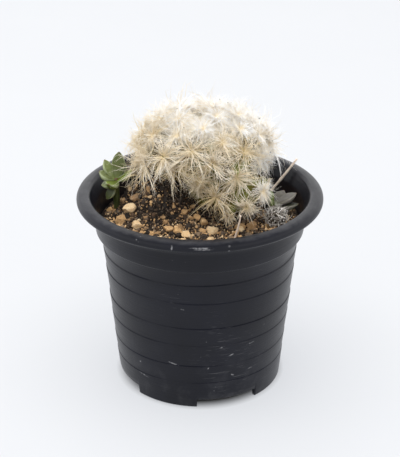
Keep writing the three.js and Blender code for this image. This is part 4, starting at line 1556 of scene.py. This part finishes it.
def pup_ball(material):
    """The pup's own round body with low bumps, and its root."""
    whole = bmesh.new()
    bmesh.ops.create_icosphere(whole, subdivisions=4, radius=1)
    for vertex in whole.verts:
        bumps = 1 + 0.07 * noise.cell(vertex.co * 2.4) + 0.05 * noise.noise(vertex.co * 4)
        vertex.co = to_metres(PUP_CENTRE) + vertex.co * bumps * PUP_RADIUS * 0.95 * MM
    middle = Vector(PUP_CENTRE) - Vector((0, 0, PUP_ROOT / 2))
    post_into(whole, middle, PUP_ROOT_RADII, PUP_ROOT, 16)
    return from_bmesh("pup_body", whole, material)


def pup_dots(tips, material):
    """A tiny tuft of white wool on each point of the pup."""
    whole = bmesh.new()
    draw = np.random.default_rng(17)
    for tip in tips:
        size = draw.uniform(0.14, 0.42) * MM
        place = Matrix.Translation(to_metres(tip))
        bmesh.ops.create_icosphere(whole, subdivisions=1, radius=size, matrix=place)
    return from_bmesh("pup_dots", whole, material)


def pup_tuft():
    """White wool with greyer patches."""
    material, g, shader = new_finish("pup_dots", roughness=0.9, specular=0.1)
    patches = g.noise(object_place(g), 2500, detail=2)
    shade = g.ramp(patches, ((0.35, (0.5, 0.47, 0.43)), (0.6, (0.92, 0.9, 0.87))))
    g.put(shader.inputs["Base Color"], shade)
    return material


def pup_skin():
    """Dark grey, dusty skin."""
    material, g, shader = new_finish("pup_skin", roughness=0.9, specular=0.2)
    patches = g.noise(object_place(g), 500, detail=4)
    shade = g.ramp(patches, ((0.4, (0.022, 0.017, 0.012)), (0.7, (0.14, 0.115, 0.09))))
    g.put(shader.inputs["Base Color"], shade)
    return material


class CACTUS_OT_pup(bpy.types.Operator):
    """Grow the small grey woolly pup by the rim"""

    bl_idname = "cactus.pup"
    bl_label = "Woolly pup"

    def execute(self, context):
        wool = settings().wool
        count = PUP_POINTS
        draw = np.random.default_rng(3)
        aims = []
        for i in range(count):
            z = 1 - PUP_COVER * (i + 0.5) / count
            level = math.sqrt(1 - z * z)
            turn = i * GOLDEN_ANGLE
            aims.append((level * math.cos(turn), level * math.sin(turn), z))
        aims = np.array(aims)
        tips = np.array(PUP_CENTRE) + aims * PUP_RADIUS * 0.96
        cloud = {
            "aim": aims,
            "tint": draw.beta(0.5, 0.6, count),
            "span": draw.uniform(0.5, 1.3, count),
            "hang": np.zeros(count),
            "soft": np.zeros(count),
        }
        dark, grey, white = (0.17, 0.14, 0.11), (0.47, 0.42, 0.37), (0.97, 0.95, 0.92)
        values = {
            "Hairs": wool.pup_hairs,
            "Lock": 1,
            "Lift": 0.0,
            "Length": 1.8 * MM,
            "Radius": 0.12 * MM,
            "Rise low": 0.0,
            "Rise high": 1.2,
            "Curl": 0.9,
            "Sag": 0.0,
            "Stray": 1.2,
            "Wave": 0.3,
            "Seed": 60,
            "Material": hair_finish("pup_hair", dark, grey, white, white),
        }
        finished(pup_ball(pup_skin()), ["cactus_pup"])
        points = np.array(PUP_CENTRE) + aims * PUP_RADIUS * 1.03
        finished(pup_dots(points, pup_tuft()), ["cactus_pup"])
        hairs = grown(point_cloud("pup_wool", tips, cloud), wool_tree(), values)
        finished(hairs, ["cactus_pup"])
        return {"FINISHED"}


def leaf_points(root, towards, long, wide, middle, curve):
    """Rings of points of one fat pointed leaf, bent a little towards its upper face."""
    rings, sides = LEAF_RINGS, LEAF_SIDES
    along = Vector(towards).normalized()
    inwards = (Vector(middle) - (Vector(root) + along * long / 2)).normalized()
    across = (Vector((0, 0, 1)) + inwards * LEAF_CUPPING).cross(along).normalized()
    up = along.cross(across)
    points = []
    margins = []
    for i in range(rings):
        t = min(max(i / (rings - 1), 0.012), 0.99)
        swell = 0.35 * (1 - t) + 0.93 * math.sin(math.pi * t**1.35) ** 0.8
        swell *= 1 - 0.9 * max(0, (0.06 - t) / 0.06)
        bow = curve * long * (t - 0.5) ** 2
        for j in range(sides):
            turn = 2 * math.pi * j / sides
            x = math.copysign(abs(math.cos(turn)) ** 0.85, math.cos(turn)) * wide / 2 * swell
            y = math.sin(turn) * wide * LEAF_THICKNESS / 2 * swell
            y = y * 0.5 + 0.35 * x * x / wide if y > 0 else y * (1 + 0.15 * (1 - abs(math.cos(turn))))
            points.append(Vector(root) + across * x + up * (y + bow) + along * long * t)
            margins.append(max(0, abs(math.cos(turn)) - 0.86) / 0.14)
    return points, margins


def succulent(name, stem, middle, leaves, material, curve):
    """The stem and leaves of one small plant, each leaf in its own strip of the map."""
    points, faces, margins, looks, places = [], [], [], [], []
    strips = len(leaves) + 1

    def add(part, part_margins, look, strip, rings, sides):
        start = len(points)
        points.extend(part)
        margins.extend(part_margins)
        looks.extend([look] * len(part))
        ring_faces = tube_faces(rings, sides)
        faces.extend([start + corner for corner in face] for face in ring_faces)
        for around, along in tube_places(ring_faces, rings, sides):
            places.append(((strip + 0.05 + 0.9 * around) / strips, along))

    foot, top, radius = Vector(stem[0]), Vector(stem[1]), stem[2]
    rings, sides = 12, 14
    stem_points = []
    for i in range(rings):
        centre = foot.lerp(top, i / (rings - 1))
        thick = radius * (1 - 0.2 * i / (rings - 1)) * (1 + 0.06 * math.sin(i * 2.1))
        for j in range(sides):
            turn = 2 * math.pi * j / sides
            stem_points.append(centre + Vector((math.cos(turn), math.sin(turn), 0)) * thick)
    add(stem_points, [0] * len(stem_points), STEM_LOOK, len(leaves), rings, sides)
    for strip, (root, towards, long, wide, look) in enumerate(leaves):
        part, part_margins = leaf_points(root, towards, long, wide, middle, curve)
        add(part, part_margins, look, strip, LEAF_RINGS, LEAF_SIDES)
    made = new_object(name, points, faces, material)
    lay_on_map(made, places)
    return with_attributes(made, {"margin": margins, "look": looks})


class CACTUS_OT_succulents(bpy.types.Operator):
    """Grow the green rosette at the left and the grey leaves at the right"""

    bl_idname = "cactus.succulents"
    bl_label = "Succulents"

    def execute(self, context):
        flesh = settings().flesh
        green = leaf_finish("green_leaf", flesh.green_leaf, (0.25, 0.28, 0.17), (0.42, 0.47, 0.28))
        grey = leaf_finish("grey_leaf", flesh.grey_leaf, (0.24, 0.225, 0.2), (0.38, 0.36, 0.32))
        left = succulent("green_rosette", GREEN_STEM, GREEN_MIDDLE, GREEN_LEAVES, green, 0.35)
        right = succulent("grey_leaves", GREY_STEM, GREY_MIDDLE, GREY_LEAVES, grey, 0.1)
        finished(left, ["green_succulent"])
        finished(right, ["grey_succulent"])
        return {"FINISHED"}


class CACTUS_OT_stalks(bpy.types.Operator):
    """Lay the two dry stalks in their places"""

    bl_idname = "cactus.stalks"
    bl_label = "Dry stalks"

    def execute(self, context):
        material = dry_straw()
        steps, sides = 25, 10
        for name, (foot, tip, radius) in STALKS.items():
            foot, tip = Vector(foot), Vector(tip)
            path = []
            radii = []
            for i in range(steps):
                t = i / (steps - 1)
                bow = Vector((0.5, 0, 0.2)) * 4 * t * (1 - t)
                path.append(foot.lerp(tip, t) + bow)
                knot = 0.25 * math.exp(-(((t - 0.55) / 0.03) ** 2))
                radii.append(radius * (1 - 0.3 * t + knot + 0.06 * math.sin(i * 1.9)))
            stalk = tube(f"{name}_straw", path, radii, sides, material)
            lay_on_map(stalk, tube_places(tube_faces(steps, sides), steps, sides))
            finished(stalk, [name])
        return {"FINISHED"}


# ---- Stage --------------------------------------------------------------------------------------


def floor_finish():
    """Matte pale board with the faintest mottling. It glows a little and bluish, as on a light table: painted
    light that pales the shadows and tints them blue. The glow fades out under and close round the pot's foot,
    which paints a contact shadow there.
    """
    material, g, shader = new_finish("pale_floor", roughness=0.85, specular=0.2)
    shader.inputs["Emission Color"].default_value = (0.915, 0.945, 1, 1)
    # Painted contact shadow: no glow under the pot, rising to full a little outside its foot
    from_axis = g.vector("LENGTH", object_place(g))
    g.put(shader.inputs["Emission Strength"], g.math("MULTIPLY", g.rise(from_axis, 0.029, 0.0358), 0.56))
    mottling = g.noise(object_place(g), 12, detail=4)
    pale = settings().stage.floor
    shade = g.ramp(mottling, ((0.3, [c * 0.985 for c in pale]), (0.7, [min(1, c * 1.01) for c in pale])))
    g.put(shader.inputs["Base Color"], shade)
    return material


def white_surround(strength):
    """A white studio, brightest low down behind the plant and at both its sides."""
    world = bpy.data.worlds.new("white_surround")
    bpy.context.scene.world = world
    world.use_nodes = True
    g = Graph(world.node_tree)
    towards = g.add("ShaderNodeTexCoord", out="Generated")
    low = g.rise(g.part(towards, 2), 0.85, 0.4)
    beside = g.rise(g.math("ABSOLUTE", g.part(towards, 0)), 0.08, 0.6)
    behind = g.rise(g.part(towards, 1), 0.0, 0.6)
    bright = g.math("MULTIPLY", low, g.math("MAXIMUM", beside, behind))
    shade = g.blend(bright, (0.5, 0.5, 0.5), (1.15, 1.15, 1.155))
    background = world.node_tree.nodes["Background"]
    g.put(background.inputs["Color"], shade)
    background.inputs["Strength"].default_value = strength


def softbox(name, place, aim, size, power, tint):
    light = bpy.data.lights.new(name, "AREA")
    light.shape = "RECTANGLE"
    light.size, light.size_y = size
    light.energy = power
    light.color = tint
    lamp = bpy.data.objects.new(name, light)
    lamp.visible_glossy = False
    lamp.location = place
    lamp.rotation_euler = (Vector(aim) - Vector(place)).to_track_quat("-Z", "Y").to_euler()
    bpy.context.scene.collection.objects.link(lamp)


class CACTUS_OT_stage(bpy.types.Operator):
    """Set the pale floor, the soft lights and the camera"""

    bl_idname = "cactus.stage"
    bl_label = "Stage"

    def execute(self, context):
        stage = settings().stage
        reach = 4000
        points = [(-reach, -reach, -0.2), (reach, -reach, -0.2), (reach, reach, -0.2), (-reach, reach, -0.2)]
        floor = new_object("pale_floor", points, [(0, 1, 2, 3)], floor_finish(), smooth=False)
        white_surround(stage.surround)
        softbox("overhead", (-0.12, -0.1, 1.2), (0, 0, 0.05), (1.7, 1.5), stage.overhead, (1, 0.99, 0.97))
        lens = bpy.data.cameras.new("camera")
        lens.sensor_width = SENSOR
        lens.lens = FOCAL_PIXELS / FRAME_HIGH * SENSOR
        lens.clip_start = 0.01
        lens.clip_end = 20
        camera = bpy.data.objects.new("camera", lens)
        camera.location = CAMERA_PLACE
        camera.rotation_euler = (math.pi / 2 - CAMERA_DOWN, 0, 0)
        context.scene.collection.objects.link(camera)
        context.scene.camera = camera
        context.scene.view_settings.view_transform = "Standard"
        return {"FINISHED"}


# ---- Panel and running --------------------------------------------------------------------------

STEPS = (
    CACTUS_OT_stage,
    CACTUS_OT_pot,
    CACTUS_OT_soil,
    CACTUS_OT_body,
    CACTUS_OT_wool,
    CACTUS_OT_pup,
    CACTUS_OT_succulents,
    CACTUS_OT_stalks,
)


class CACTUS_PT_panel(bpy.types.Panel):
    """Lists the sizes and colours, and a button for each piece"""

    bl_idname = "CACTUS_PT_panel"
    bl_label = "Potted Cactus"
    bl_space_type = "VIEW_3D"
    bl_region_type = "UI"
    bl_category = "Cactus"

    def draw(self, context):
        for group in ("pot", "soil", "wool", "flesh", "stage"):
            values = getattr(settings(), group)
            box = self.layout.box()
            box.label(text=group.capitalize())
            for name in values.__annotations__:
                box.prop(values, name)
        for step in STEPS:
            self.layout.operator(step.bl_idname)


CLASSES = (
    CactusPotSettings,
    CactusSoilSettings,
    CactusWoolSettings,
    CactusFleshSettings,
    CactusStageSettings,
    PottedCactusSettings,
    *STEPS,
    CACTUS_PT_panel,
)


def register():
    for each in CLASSES:
        bpy.utils.register_class(each)
    bpy.types.Scene.potted_cactus = PointerProperty(type=PottedCactusSettings)


def unregister():
    del bpy.types.Scene.potted_cactus
    for each in reversed(CLASSES):
        bpy.utils.unregister_class(each)


def main():
    register()
    bpy.ops.cactus.stage()
    bpy.ops.cactus.pot()
    bpy.ops.cactus.soil()
    bpy.ops.cactus.body()
    bpy.ops.cactus.wool()
    bpy.ops.cactus.pup()
    bpy.ops.cactus.succulents()
    bpy.ops.cactus.stalks()


if __name__ == "__main__":
    main()
